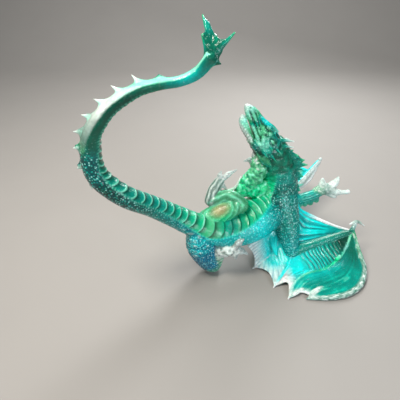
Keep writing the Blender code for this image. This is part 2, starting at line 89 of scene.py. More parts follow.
# Backbone from the tail fin to the back of the head: centre, half width, half depth.
BACKBONE = (
    (9, 267, 266, 6.5, 4.5), (-2, 269, 254, 4.9, 4.6), (-16, 268, 248, 4.1, 4.1),
    (-31, 267, 246, 4.2, 4.3), (-47, 264, 243, 4.7, 4.9), (-60, 261, 237, 5.2, 5.4),
    (-72, 259, 229, 5.7, 5.9), (-82, 259, 218, 6.4, 6.6), (-90, 261, 206, 7.4, 7.5),
    (-94, 264, 193, 8.5, 8.6), (-96, 265, 180, 9.2, 9.2), (-94, 265, 166, 9.9, 9.8),
    (-86, 265, 154, 10.2, 10.1), (-70, 268, 138, 10.4, 10.3), (-50, 285, 115, 11.0, 10.8),
    (-28, 298, 92, 12.5, 12.2), (-8, 301, 78, 14.0, 13.6), (8, 303, 70, 17.0, 15.5),
    (28, 310, 63, 21.0, 18.0), (50, 319, 61, 25.0, 22.0), (71, 332, 65, 27.0, 24.5),
    (89, 344, 73, 25.0, 23.5), (99, 351, 89, 21.0, 20.5), (98, 354, 108, 19.0, 20.0),
    (93, 354, 126, 17.0, 18.5), (88, 352, 141, 14.0, 15.5), (79, 351, 157, 12.0, 13.0),
)
# The tail's belly faces the middle of its curl.  From the trunk on, the belly has its own directions.
CURL_MIDDLE = np.array((20.0, 235.0, 195.0))
TRUNK_STARTS = 17
TRUNK_BELLY = ((0.44, -0.43, 0.79), (0.30, -0.26, 0.91), (0.01, -0.11, 0.99), (-0.25, -0.05, 0.97),
               (-0.63, -0.02, 0.77), (-0.96, -0.09, 0.26), (-0.96, -0.24, -0.16), (-0.91, -0.30, -0.30),
               (-0.89, -0.19, -0.42), (-0.85, -0.15, -0.50))
# Values by station of the backbone: half angle of the belly scutes in degrees, length of a scute,
# size of a scale, share of the scales with a painted highlight on the top, turn of the tail's belly
# away from the viewed side in degrees, and angle from the belly, in radians, where the dye of the
# back begins.
SCUTE_HALVES = ((0, 46), (8, 46), (12, 48), (15.5, 52), (17, 60), (18, 48), (19, 43), (20, 41), (22, 41),
                (23, 47), (24, 56))
SCUTE_LENGTHS = ((0, 6.0), (6, 6.5), (10, 8.5), (13, 10.5), (17, 12.0), (19, 11.5), (21, 9.0), (24, 7.0))
SCALE_PITCHES = ((0, 2.8), (12, 2.8), (16, 3.4), (20, 3.8), (26, 3.6))
PAINTED_HIGHLIGHT_SHARES = ((0, 0.0), (7.8, 0.0), (9.0, 1.0), (12.5, 1.0), (14, 0.6), (16, 0.6), (17.5, 0.45), (20, 0.4),
            (21.2, 0.9), (23, 0.6), (23.8, 0.1), (26, 0.0))
BELLY_TURNS = ((0, -52), (7.5, -46), (10, -22), (14, -18), (17, 0))
BACK_STARTS = ((0, 2.6), (2, 2.45), (3.5, 2.3), (7.5, 2.25), (10.5, 2.1), (15, 1.9))
# Dyes by station of the backbone, and how much of its own pale dye a rib of the belly takes: partly the
# rib's own tint, partly a painted highlight along its raised edge.
BACK_DYES = ((0, "mint"), (4, "mint"), (6, "clear"), (8.2, "glass"), (9.0, "sage"), (9.6, "teal"),
             (15, "sea"), (16.6, "sea"), (17.3, "cyan"), (19.5, "cyan"), (20.6, "teal"),
             (23, "teal"), (24, "deep"), (26, "deep"))
FLANK_DYES = ((0, "deep"), (1.5, "sea"), (3, "deep"), (5, "forest"), (8.5, "deep"), (9.5, "teal"),
              (11, "teal"), (12, "deep"), (14, "teal"), (16, "sea"), (17, "cyan"), (18.3, "sea"),
              (19.5, "cyan"), (20.3, "sea"), (21, "teal"), (22, "deep"), (23.2, "teal"), (24.2, "deep"),
              (26, "deep"))
BELLY_DYES = ((0, "teal"), (3, "forest"), (8, "forest"), (10, "deep"), (14, "teal"), (16, "emerald"),
              (17, "sage"), (18, "teal"), (19, "emerald"), (21, "emerald"), (22.5, "spring"),
              (23.5, "emerald"), (24.2, "deep"), (26, "deep"))
RIB_DYES = ((0, "teal"), (5, "teal"), (8, "mint"), (16.5, "mint"), (17.5, "emerald"), (19, "emerald"),
            (19.8, "mint"), (22, "mint"), (23, "spring"), (24, "teal"), (26, "teal"))
RIB_SHARES = ((5, 0.3), (8.5, 0.95), (16.5, 0.95), (17.3, 0.25), (19, 0.25), (19.8, 1.0), (23, 0.9),
              (24, 0.2))
BACKBONE_STEPS = 8          # rows of the solid's backbone to each station, for the crest's places
# Thorns along the backbone: the first one's distance from the tail fin, the step from one to the
# next, how far from the head they stop, and where along it they turn from pale to green.
THORNS_START, THORN_STEP, THORNS_STOP, THORNS_GREEN = 62, 15.5, 55, 190
# Root of the pleats of the left wing's inner skin.
FAN_ROOT = np.array((99.0, 332.0, 44.0))

# Head: the tip of the snout, the way back along the skull and the way up through the crown.
SNOUT = np.array((49.5, 357.0, 199.0))
HEAD_BACK = np.array((0.618, -0.107, -0.779)) / np.linalg.norm((0.618, -0.107, -0.779))
CROWN = np.array((0.72, 0.25, 0.54))
CROWN = CROWN - HEAD_BACK * np.dot(CROWN, HEAD_BACK)
CROWN = CROWN / np.linalg.norm(CROWN)
HEAD_LEFT = np.cross(HEAD_BACK, CROWN)
# Distance back from the snout, half width, height of the top, height of the underside.
SKULL = ((0.0, 1.8, 0.8, -2.4), (3.0, 3.8, 3.2, -4.6), (8.0, 5.0, 5.2, -6.4),
         (14.0, 5.8, 6.0, -7.6), (22.0, 7.2, 6.4, -9.8), (29.0, 9.4, 7.2, -12.0),
         (36.0, 11.4, 8.4, -14.2), (44.0, 12.4, 9.2, -17.0), (52.0, 12.4, 9.0, -19.5),
         (61.0, 11.6, 7.4, -21.0), (69.0, 9.6, 3.0, -18.0))
JAW = ((6.5, 1.8, -8.6, -12.4), (9.0, 4.0, -8.2, -16.4), (14.0, 5.2, -9.4, -19.0),
       (21.0, 6.0, -11.4, -20.6), (29.0, 7.2, -13.8, -21.2), (37.0, 8.8, -16.2, -22.4),
       (46.0, 9.8, -15.0, -23.4), (56.0, 9.2, -14.0, -22.6))
# Leaves of the neck crest: rows back from the head end of the backbone, height, length.
CREST_LEAVES = ((-11, 9, 13), (-15, 14, 16), (-19, 15, 16), (-24, 8, 14), (-30, 5, 13), (-37, 4, 12))


def linear(hex_colour):
    """An sRGB hex colour as linear red, green and blue."""
    value = np.array([int(hex_colour[k:k + 2], 16) / 255 for k in (1, 3, 5)])
    return tuple(np.where(value <= 0.04045, value / 12.92, ((value + 0.055) / 1.055) ** 2.4))


def colour(name, text, hex_colour):
    """A colour property with an sRGB default."""
    return FloatVectorProperty(name=name, description=text, subtype="COLOR", size=3, min=0, max=1,
                               default=linear(hex_colour))


def length(name, text, millimetres):
    """A length property in metres with a default in millimetres."""
    return FloatProperty(name=name, description=text, default=millimetres * MM, min=0, precision=5,
                         subtype="DISTANCE", unit="LENGTH")


class DragonSizes(bpy.types.PropertyGroup):
    """Sizes of the casting's relief."""
    skin: length("Wing skin", "Thickness of the wing skin", 2.4)
    scute_step: length("Scute step", "Least height of the free edge of a scute", 0.5)
    scale_height: length("Scale height", "Height of the scales on the trunk and the limbs", 0.6)
    grid: length("Casting grid", "Spacing of the grid that fuses the forms", 0.7)
    facets: IntProperty(name="Facets", description="Most triangles of the finished casting",
                        default=190000, min=20000)


class DragonColours(bpy.types.PropertyGroup):
    """Dyes of the resin; some of them also paint shade and highlights."""
    # Forest is also the painted shade in the hollows of wrinkles, folds and the head.
    forest: colour("Forest", "Tail's belly, throat and creases of the hide", "#034a39")
    deep: colour("Deep green", "Flanks of the tail and the neck, crest and horns", "#046d55")
    emerald: colour("Emerald", "Belly of the trunk", "#00b884")
    spring: colour("Spring green", "Chest, wing ridge and right foreleg", "#4ff0a8")
    # Mint is also a painted highlight on the crests of wrinkles, folds and the head.
    mint: colour("Mint", "Ridge of the tail's arch and ribs of the belly", "#b0ffe4")
    teal: colour("Teal", "Tail, head and arms of the wings", "#009c8a")
    # Cyan is also a painted highlight on the brow and, mixed with clear, on the tops of scales.
    cyan: colour("Cyan", "Flanks of the trunk and wing skin near the arm", "#00f0ec")
    sea: colour("Sea green", "Hips and wing skin away from the arm", "#00b8b0")
    # Navy is also the painted shade in the creases of the inner wing skin and the hip.
    navy: colour("Navy", "Left thigh and creases of the inner wing skin", "#028cae")
    # Ink is the painted shade in the hollows between the raised stripes of the wing web.
    ink: colour("Ink", "Hollows between the stripes of the wing web", "#052c44")
    # Clear is also a painted highlight on crests and on the tops of scales.
    clear: colour("Clear", "Undyed resin of the claws, left foot and wing edges", "#f2fbf6")
    sage: colour("Sage", "Right foreleg, right hind leg and jaw", "#74c898")
    straw: colour("Straw", "Root of the right thigh", "#c2cf94")
    glass: colour("Glass", "Undyed resin in shade: right foot, palms and wing rim", "#86a89c")
    peach: colour("Peach", "Spot on the right thigh", "#c9a583")


def sizes():
    """Sizes in millimetres."""
    group = bpy.context.scene.dragon_sizes
    return {key: getattr(group, key) / MM for key in ("skin", "scute_step", "scale_height", "grid")}


def dye(*names):
    """Dyes by name, one row of linear colour each."""
    group = bpy.context.scene.dragon_colours
    return np.array([tuple(getattr(group, name)) for name in names])


def mix(first, second, share):
    """Colours a share of the way from the first to the second."""
    return first + (second - first) * np.asarray(share)[..., None]


def dyed(tints, name, share):
    """Tints a share of the way to a dye."""
    return mix(tints, dye(name)[0], share)


def table(stops, place):
    """Values at places along a table of (place, value)."""
    return np.interp(place, *zip(*stops))


def rows_at(rows, marks, places):
    """Rows at places along their marks."""
    return np.stack([np.interp(places, marks, column) for column in rows.T], -1)


def tones(place, *stops):
    """Colours at places along a row of (place, dye) stops."""
    marks, names = zip(*stops)
    return rows_at(dye(*names), marks, place)


def along_dyes(names, share):
    """Colours at shares 0 to 1 along evenly placed dyes, their names in one string."""
    names = names.split()
    return tones(share, *zip(np.linspace(0, 1, len(names)), names))


def smooth(low, high, value):
    """0 below low, 1 above high, smooth between."""
    t = np.clip((value - low) / (high - low), 0, 1)
    return t * t * (3 - 2 * t)


def bell(value, width):
    """1 at 0, falling away over the width."""
    return np.exp(-(value / width) ** 2)


def swell(angle):
    """Between 0 and 1, once up and down in a turn, 1 at angle 0."""
    return 0.5 + 0.5 * np.cos(angle)


def round_angles(sides):
    """Angles of evenly placed points round a ring."""
    return TURN * np.arange(sides) / sides


# Steps to each span of a curve, for its points and for its length alone.
POINT_STEPS, LENGTH_STEPS = 24, 12


def curve_through(stations, steps):
    """Rows on a Catmull-Rom curve through the stations, `steps` to each span."""
    rows = np.array(stations, float)
    ends = np.vstack([2 * rows[0] - rows[1], rows, 2 * rows[-1] - rows[-2]])
    t = (np.arange(steps) / steps)[:, None]
    spans = []
    for i in range(len(rows) - 1):
        a, b, c, d = ends[i:i + 4]
        spans.append(0.5 * (2 * b + (c - a) * t + (2 * a - 5 * b + 4 * c - d) * t * t
                            + (3 * b - a - 3 * c + d) * t ** 3))
    return np.vstack(spans + [rows[-1:]])


def running_length(rows):
    """Distance of each row along the curve."""
    return np.r_[0, np.cumsum(np.linalg.norm(np.diff(rows[:, :3], axis=0), axis=1))]


def evenly(stations, count):
    """`count` + 1 rows at even distances along the curve through the stations."""
    fine = curve_through(stations, POINT_STEPS)
    run = running_length(fine)
    return rows_at(fine, run, np.linspace(0, run[-1], count + 1))


def span(stations):
    """Length of the curve through the stations."""
    return running_length(curve_through(stations, LENGTH_STEPS))[-1]


def unit(vectors):
    """Vectors scaled to length 1."""
    return vectors / (np.linalg.norm(vectors, axis=-1, keepdims=True) + 1e-9)


def travel(rows):
    """Unit directions of travel at each row of a curve."""
    return unit(np.gradient(rows[:, :3], axis=0))


def carried(way, up):
    """An up vector carried along a curve without twist."""
    ups = []
    for ahead in way:
        up = up - ahead * np.dot(up, ahead)
        up = up / np.linalg.norm(up)
        ups.append(up)
    return np.array(ups)


ROW_STEP = 1.732        # from a row of scales to the next but one, against the width of a scale
SCALE_REACH = 0.36      # square of a scale's radius


def scale_pattern(along, around):
    """Rounded overlapping scales, one to each unit round: height, and for each scale a lot 0 to 1."""
    best = np.full(np.broadcast(along, around).shape, 9.0)
    tilt, lot = np.zeros_like(best), np.zeros_like(best)
    for shift in (0.0, 0.5):
        x = along / ROW_STEP - shift
        y = around - shift
        dx = (x - np.round(x)) * ROW_STEP
        dy = y - np.round(y)
        far = dx * dx + dy * dy
        closer = far < best
        tilt = np.where(closer, dx, tilt)
        lot = np.where(closer, np.round(x) * 7.31 + np.round(y) * 3.17 + shift * 11.9, lot)
        best = np.minimum(best, far)
    height = np.sqrt(np.clip(1 - best / SCALE_REACH, 0, 1)) * (0.8 - 0.5 * tilt)
    # The lot is a fixed shuffle of the place of the scale.
    return height, (np.sin(lot * 12.9898) * 43758.5453) % 1.0


def scaly(tints, relief, lot, painted_highlight_share, hollow_shade=0.6):
    """Dyes over scales with painted light: painted shade darkens the hollows to a share of the dye, the
    tops are brightened, and some tops carry a painted highlight of pale cyan.
    """
    # Painted shade in the hollows between scales, brighter tops, and a painted highlight on some tops.
    tints = mix(tints * hollow_shade, tints * 1.25, smooth(0.1, 0.75, relief))
    bare = (1 - hollow_shade) * painted_highlight_share * smooth(0.35, 0.75, relief) * lot ** 2
    return mix(tints, dye("clear", "cyan").mean(0), bare)


def lines(across, count, phase):
    """Uneven raised lines, 0 to 1, `count` of them across 0 to 1."""
    wander = 0.30 * np.sin(TURN * across * 2.3 + phase) + 0.12 * np.sin(TURN * across * 7.1 + phase)
    return (0.5 + 0.5 * np.sin(TURN * (across * count + wander) + phase)) ** 2


def swirls(x, y, z):
    """A wandering pattern between -1 and 1 from three coordinates in millimetres."""
    a = np.sin(0.55 * x + 1.7 * np.sin(0.31 * y + 0.4) + 1.1 * np.sin(0.42 * z))
    b = np.sin(0.62 * y + 1.9 * np.sin(0.37 * z + 1.1) + 1.3 * np.sin(0.29 * x + 2.0))
    c = np.sin(0.48 * z + 1.5 * np.sin(0.44 * x + 0.7))
    return (a + b + c) / 3


def clay():
    """The collection that holds the forms before they are cast."""
    found = bpy.data.collections.get("clay")
    if found is None:
        found = bpy.data.collections.new("clay")
        bpy.context.scene.collection.children.link(found)
    return found


def add_form(name, points, faces, tints, grain):
    """A closed form in the clay, with a dye, painted shade and highlights included, and a strength of fine
    grain at each point.
    """
    mesh = bpy.data.meshes.new(name)
    local = (np.asarray(points) - FOOTPRINT_MIDDLE) * MM
    mesh.from_pydata(local.tolist(), [], [face for block in faces for face in block.tolist()])
    dyes = mesh.attributes.new("dye", "FLOAT_COLOR", "POINT")
    shades = np.concatenate([tints, np.broadcast_to(grain, len(points))[:, None]], axis=1)
    dyes.data.foreach_set("color", shades.astype(np.float32).ravel())
    clay().objects.link(bpy.data.objects.new(name, mesh))


def ring_quads(index):
    """Faces between rows of closed rings."""
    near, far = index[:-1], index[1:]
    return np.stack([near, np.roll(near, -1, 1), np.roll(far, -1, 1), far], -1).reshape(-1, 4)


def tip_fan(ring, tip):
    """Faces from a closed ring to a tip."""
    return np.stack([ring, np.roll(ring, -1), np.full(len(ring), tip)], -1)


def skin_over(name, rings, tints, first_tip, last_tip, grain):
    """A closed form over rings of points, its two ends drawn to tips."""
    count, sides = rings.shape[:2]
    index = np.arange(count * sides).reshape(count, sides)
    fans = [tip_fan(index[0][::-1], index.size), tip_fan(index[-1], index.size + 1)]
    points = np.vstack([rings.reshape(-1, 3), first_tip, last_tip])
    tints = np.broadcast_to(tints, rings.shape).reshape(-1, 3)
    tints = np.vstack([tints, tints[:1], tints[-1:]])
    grains = np.broadcast_to(grain, (count, sides)).ravel()
    add_form(name, points, [ring_quads(index), *fans], tints, np.r_[grains, grains[0], grains[-1]])


def ridges(count, high, twist=0.0, top="clear", share=0.5):
    """Sculpts raised cords along a limb, with painted shade in the hollows between them and a painted
    highlight of the `top` dye on their crests.
    """
    def sculpt(run, theta, tints):
        wave = swell(count * theta + twist * run + 0.8 * np.sin(0.13 * run)
                     + 0.6 * np.sin(0.45 * run + 2 * theta)) ** 2
        wave = wave * (0.7 + 0.3 * swirls(run * 1.5, 12 * np.cos(theta), 12 * np.sin(theta)))
        return high * wave, dyed(tints * (0.5 + 0.5 * wave)[..., None], top, share * wave)
    return sculpt


def crinkles(high, tight, low="forest", top="mint", share=0.6):
    """Sculpts wandering wrinkles over a limb, with painted shade of the `low` dye in the hollows and a
    painted highlight of the `top` dye on the crests.
    """
    def sculpt(run, theta, tints):
        x, y, z = run * tight, 8 * tight * np.cos(theta), 8 * tight * np.sin(theta)
        fold = 0.65 * swirls(x, y, z) + 0.5 * swirls(2.1 * x + 3, 2.1 * y, 2.1 * z)
        tints = dyed(tints, low, 0.7 * smooth(0.05, -0.5, fold))
        return high * fold, dyed(tints, top, share * smooth(0.15, 0.6, fold))
    return sculpt


def fading(sculpt, start, end):
    """A sculpting of the first part of a limb only, gone between two distances along it."""
    def faded(run, theta, tints):
        share = 1 - smooth(start, end, run)
        lift, painted = sculpt(run, theta, tints)
        return lift * share, mix(tints, painted, share * np.ones_like(theta))
    return faded


END_ANGLES = np.radians((20, 40, 60, 80))       # of the rows that round off a limb
FIRST_UP = np.array((0.13, 0.31, 1.0))          # a direction that no limb starts along
END_TIP = 0.02                                  # how far the last point of an end stands out


def round_end(row, out):
    """Rows over the end of a limb, from the limb outwards."""
    return [np.r_[row[:3] + out * row[3] * math.sin(a), row[3] * math.cos(a)] for a in END_ANGLES]


def limb(name, stations, dyes, sides=32, scales=0.0, columns=14, grain=0.1, gap=1.1, painted_highlight_share=0.0,
         sculpt=None, squash=None, hollow_shade=0.6):
    """A round limb through stations of centre and radius, with rounded ends and scales.

    `scales` is their height, `columns` their number round the limb, `painted_highlight_share` the
    share of the scales with a painted highlight on the top and `hollow_shade` the share of the dye
    left in the painted shade between them.  `grain` is the strength of the material's own fine
    scales and of the shade and highlights painted on them, and `gap` the distance between the rows.
    `sculpt` adds relief and paint, and `squash` is a direction in which the limb is flattened and a
    share."""
    body = evenly(stations, max(6, int(span(stations) / gap)))
    way = travel(body)
    rows = np.vstack([round_end(body[0], -way[0])[::-1], body, round_end(body[-1], way[-1])])
    more = len(END_ANGLES)
    way = np.vstack([np.repeat(way[:1], more, 0), way, np.repeat(way[-1:], more, 0)])
    ups = carried(way, FIRST_UP)
    across = np.cross(way, ups)
    run = running_length(rows)
    theta = round_angles(sides)
    pitch = TURN * max(body[:, 3].max(), 1) / columns
    relief, lot = scale_pattern(run[:, None] / pitch, theta[None, :] / TURN * columns)
    tints = along_dyes(dyes, run / run[-1])[:, None, :] * np.ones((1, sides, 1))
    lift = relief * scales
    if scales:
        tints = scaly(tints, relief, lot, painted_highlight_share, hollow_shade)
    if sculpt is not None:
        raised, tints = sculpt(run[:, None], theta[None, :], tints)
        lift = lift + raised
    radius = rows[:, 3:4] + lift * np.clip(rows[:, 3:4] / 5, 0, 1)
    spread = (across[:, None] * np.sin(theta)[None, :, None]
              + ups[:, None] * np.cos(theta)[None, :, None]) * radius[..., None]
    if squash is not None:
        flat = unit(np.array(squash[0], float))
        spread = spread - flat * ((spread @ flat) * (1 - squash[1]))[..., None]
    skin_over(name, rows[:, None, :3] + spread, np.clip(tints, 0, 1), rows[0, :3] - way[0] * END_TIP,
              rows[-1, :3] + way[-1] * END_TIP, grain)


def backbone():
    """Rows of the body: centre, half width, half depth, belly direction and station."""
    rows = []
    for i, (x, y, z, wide, deep) in enumerate(BACKBONE):
        if i < TRUNK_STARTS:
            belly = unit(CURL_MIDDLE - np.array((x, y, z)))
        else:
            belly = unit(np.array(TRUNK_BELLY[i - TRUNK_STARTS]))
        rows.append((x, y, z, wide, deep, *belly, i))
    return np.array(rows)


def model_body():
    """Tail, trunk and neck: ribbed belly scutes, a corded seam, scales, and a scalloped crest."""
    size = sizes()
    stations = backbone()
    gap, sides = 0.95, 104      # distance between rows, and points to a row
    rows = evenly(stations, int(span(stations) / gap))
    run = running_length(rows)
    way = travel(rows)
    theta = round_angles(sides)
    wide, deep, at = rows[:, 3:4], rows[:, 4:5], rows[:, 8:9]
    from_belly = np.minimum(theta, TURN - theta)[None, :]
    turned = (theta[None, :] - np.radians(table(BELLY_TURNS, at))) % TURN
    off = np.minimum(turned, TURN - turned)
    belly = unit(rows[:, 5:8] - way * np.sum(rows[:, 5:8] * way, 1, keepdims=True))
    across = np.cross(way, belly)
    # Belly scutes: each rises to a crescent rib at its free edge.
    half = np.radians(table(SCUTE_HALVES, at))
    pitch = table(SCUTE_LENGTHS, at[:, 0])
    phase = np.r_[0, np.cumsum(np.diff(run) / pitch[1:])][:, None]
    share = off / half
    scuted = smooth(2.5, 5, at) * (1 - smooth(23.4, 24.3, at))
    on_belly = (1 - smooth(0.93, 1.02, share)) * scuted
    place = (phase + 0.40 * np.minimum(share, 1) ** 3 + 0.5) % 1.0 - 0.5
    rib = bell(place * pitch[:, None], np.where(at > 18.5, 1.0, 0.75))
    plate = place % 1.0
    step = size["scute_step"] + 0.07 * deep
    lift = step * on_belly * np.maximum(rib, 0.42 * plate ** 1.3)
    # A seam of beads, one to every 3.4 mm, where the scutes meet the flank.
    seam = bell(share * half - half - 0.9 / deep, 1.3 / deep) * scuted
    beads = swell(TURN * run / 3.4)[:, None]
    lift = lift + seam * (0.35 + 0.03 * deep) * (0.5 + 0.5 * beads)
    # Scales on the flanks and the back, folds round the neck, creases at the hips.
    grade = table(SCALE_PITCHES, at)
    cells = np.r_[0, np.cumsum(np.diff(run) / grade[1:, 0])][:, None]
    relief, lot = scale_pattern(cells, (math.pi - off) * deep / grade)
    painted_highlight_share = table(PAINTED_HIGHLIGHT_SHARES, at)
    bare = 1 - smooth(8, 10, at)
    on_flank = np.where(scuted > 0.5, smooth(1.06, 1.16, share), 1.0) * (1 - 0.8 * bare)
    lift = lift + relief * on_flank * np.minimum(size["scale_height"], 0.07 * deep)
    necked = smooth(22.8, 24, at)
    folds = swirls(run[:, None] * 1.1 + 0 * off, 14 * off, 9 * np.sin(theta)[None, :])
    lift = lift + 0.7 * folds * necked
    hip = bell(at - 16.2, 1.0) * on_flank
    creases = swirls(run[:, None] * 1.3, deep * np.sin(theta)[None, :], deep * np.cos(theta)[None, :] * 1.2)
    lift = lift + 1.0 * creases * hip
    # A low crest that is scalloped between the thorns.
    thorn = np.abs(((run[:, None] - THORNS_START) / THORN_STEP + 0.5) % 1.0 - 0.5) * 2
    crest = (0.8 + 5.5 * (1 - thorn) ** 2.2) * smooth(2, 3, at) * (1 - smooth(13, 17, at))
    lift = lift + crest * bell(math.pi - from_belly, 1.1 / deep) * np.clip(deep / 9, 0.6, 1)
    ridge = 0.10 * bell(math.pi - from_belly, 0.25)
    rings = (rows[:, None, :3]
             + across[:, None] * (np.sin(theta) * (wide * (1 + ridge) + lift))[..., None]
             + belly[:, None] * (np.cos(theta) * (deep * (1 + ridge) + lift))[..., None])
    spread = at * np.ones_like(off)
    low, middle, high = (tones(spread, *stops) for stops in (BELLY_DYES, FLANK_DYES, BACK_DYES))
    tints = mix(low, middle, smooth(0.96, 1.1, share))
    begins = table(BACK_STARTS, at)
    high = high * (0.84 + 0.16 * swirls(run[:, None] * 0.6, 9 * off, 0 * off))[..., None]
    tints = mix(tints, high, smooth(begins, begins + 0.25, off))
    tints = mix(tints, scaly(tints, relief, lot, painted_highlight_share), on_flank)
    # Painted shade in the recess at the foot of each rib, the plate lightening as it rises to the next rib.
    plate_shade = mix(tints * 0.22, tints, smooth(0.06, np.where(at < 17.5, 0.7, 0.34), plate))
    tints = mix(tints, plate_shade, on_belly)
    # The ribs' pale dye: partly their own tint, partly a painted highlight along the raised edge.
    pale = table(RIB_SHARES, at)
    tints = mix(tints, tones(spread, *RIB_DYES), pale * np.clip(rib * 1.25 - 0.1, 0, 1) * on_belly)
    # Painted highlight of mint on the tops of the seam's beads.
    tints = dyed(tints, "mint", 0.6 * seam * beads)
    # Painted shade in the troughs of the neck folds and painted light on their crests.
    tints = mix(tints, mix(tints * 0.4, tints * 1.9, 0.5 + 0.5 * folds), necked)
    # Painted shade of navy in the hip creases and a painted highlight of clear on their crests.
    tints = dyed(tints, "navy", 0.8 * hip * smooth(0.0, -0.5, creases))
    tints = dyed(tints, "clear", 0.75 * hip * smooth(0.2, 0.55, creases))
    skin_over("body", rings, np.clip(tints, 0, 1), rows[0, :3] - way[0] * 4, rows[-1, :3] + way[-1] * 8,
              np.clip(painted_highlight_share * on_flank + 0.03, 0, 1))


def head_point(back, side, up):
    """Points of the head, from the distance back, to the left and up."""
    back, side, up = (np.asarray(v, float)[..., None] for v in (back, side, up))
    return SNOUT + HEAD_BACK * back + HEAD_LEFT * side + CROWN * up


def head_form(name, sections, relief, paint, first, last):
    """A skull or jaw over its sections, with relief and paint given by functions of head places."""
    rows = curve_through(sections, 10)
    sides = 72
    turn = TURN * (np.arange(sides) + 0.5) / sides
    side_share = np.sign(np.sin(turn)) * np.abs(np.sin(turn)) ** 0.85
    up_share = np.sign(np.cos(turn)) * np.abs(np.cos(turn)) ** 0.85
    back = rows[:, 0:1] * np.ones((1, sides))
    low = rows[:, 3:4] * np.ones((1, sides))
    middle = (rows[:, 2:3] + rows[:, 3:4]) / 2
    side = rows[:, 1:2] * side_share
    up = middle + (rows[:, 2:3] - rows[:, 3:4]) / 2 * up_share
    lift = relief(back, side, up, up - low)
    tints = paint(back, side, up, lift)
    points = head_point(back, side + lift * np.sin(turn), up + lift * np.cos(turn))
    skin_over(name, points, np.clip(tints, 0, 1), head_point(*first), head_point(*last), 0.4)


EYE_PLACE = (49.0, -2.3)      # back and up of the eye's middle


def skull_relief(back, side, up, above):
    """Eye sockets, cheeks, nostrils, lips, the snout's bridge and cords, and a folded hide."""
    away = np.abs(side)
    outer = smooth(3, 7, away)
    eye = np.hypot((back - EYE_PLACE[0]) / 1.25, up - EYE_PLACE[1])
    lift = -2.4 * bell(eye, 2.6) * outer + 0.7 * bell(eye - 4.6, 1.3) * outer
    lift += 1.5 * bell(back - 45, 8.0) * bell(up + 12, 4.0) * outer
    lift += 0.9 * bell(above - 1.7, 1.1) * smooth(3, 7, back) * (1 - smooth(40, 52, back))
    lift -= 0.7 * bell(above - 4.2, 1.0) * smooth(5, 9, back) * (1 - smooth(38, 46, back))
    lift += 0.8 * bell(back - 6, 2.6) * bell(up - 2.2, 2.0) * smooth(1.5, 2.6, away)
    lift -= 1.3 * bell(back - 5.2, 1.1) * bell(up - 1.4, 1.1) * smooth(1.6, 2.4, away)
    lift += 0.9 * bell(side, 1.2) * smooth(5, 10, back) * (1 - smooth(38, 48, back)) * (up > 0)
    cords = np.sin(TURN * (0.19 * up + 0.05 * back) + 1.9 * np.sin(0.31 * back + 0.4 * up))
    lift += 0.6 * cords * smooth(9, 15, back) * (1 - smooth(30, 40, back)) * smooth(1.5, 4, away)
    lift += 0.6 * swirls(back * 0.9, side * 1.8, up * 1.8 + 4) * smooth(8, 14, back)
    lift += 1.0 * swirls(back * 1.5, side * 1.5, up * 1.5) * smooth(26, 38, back) * smooth(2.6, 5.0, eye)
    return lift


def skull_paint(back, side, up, lift):
    """Clear mint at the snout and deep green behind; cheeks pale mint where raised, partly their own tint
    and partly painted highlight; a painted highlight of cyan along the top of the brow; painted shade of
    forest in the hollows and a painted highlight of mint on the crests.
    """
    tints = tones(back, (0, "clear"), (8, "mint"), (16, "sage"), (22, "teal"), (28, "sage"), (38, "sage"),
                  (46, "teal"), (56, "teal"), (64, "deep"), (70, "deep"))
    # Painted highlight of cyan along the top of the brow; pale mint on the raised cheeks, partly their tint
    # and partly painted highlight.
    tints = dyed(tints, "cyan", 0.45 * bell(back - 38, 10) * smooth(3, 7, up))
    tints = dyed(tints, "mint", 0.7 * bell(back - 44, 11) * bell(up + 11, 6) * smooth(-0.2, 0.5, lift))
    # Painted shade in the hollows and painted highlight on the crests.
    tints = dyed(tints, "forest", 0.95 * smooth(0.25, -0.55, lift))
    return dyed(tints, "mint", 0.75 * smooth(0.55, 1.1, lift))


def jaw_relief(back, side, up, above):
    """A raised lip, folds at the corner of the mouth and hide under the chin."""
    lift = 0.8 * bell(np.abs(side) - 4, 1.0) * smooth(9, 13, back) * (above > 4)
    lift += 0.3 * np.sin(back * 1.7 + side) * smooth(12, 18, back) * (above < 4)
    return lift + 0.7 * swirls(back * 1.5, side * 1.5, up * 1.5) * smooth(24, 34, back)


def jaw_paint(back, side, up, lift):
    """Nearly clear at the chin with a white rim, greener to the throat, with painted shade in its hollows
    and painted light on its raised parts.
    """
    tints = tones(back, (6, "clear"), (12, "mint"), (24, "sage"), (32, "sage"), (40, "teal"),
                  (50, "forest"))
    tints = dyed(tints, "clear", 0.9 * (1 - smooth(30, 38, back)) * smooth(-15.5, -18.5, up))
    return mix(tints * 0.55, tints * 1.1, smooth(-0.5, 0.4, lift))


def on_head(hand, *places):
    """Stations of a limb on one side of the head: back, side and up of the head, and radius."""
    return [(*head_point(back, hand * side, up), radius) for back, side, up, radius in places]


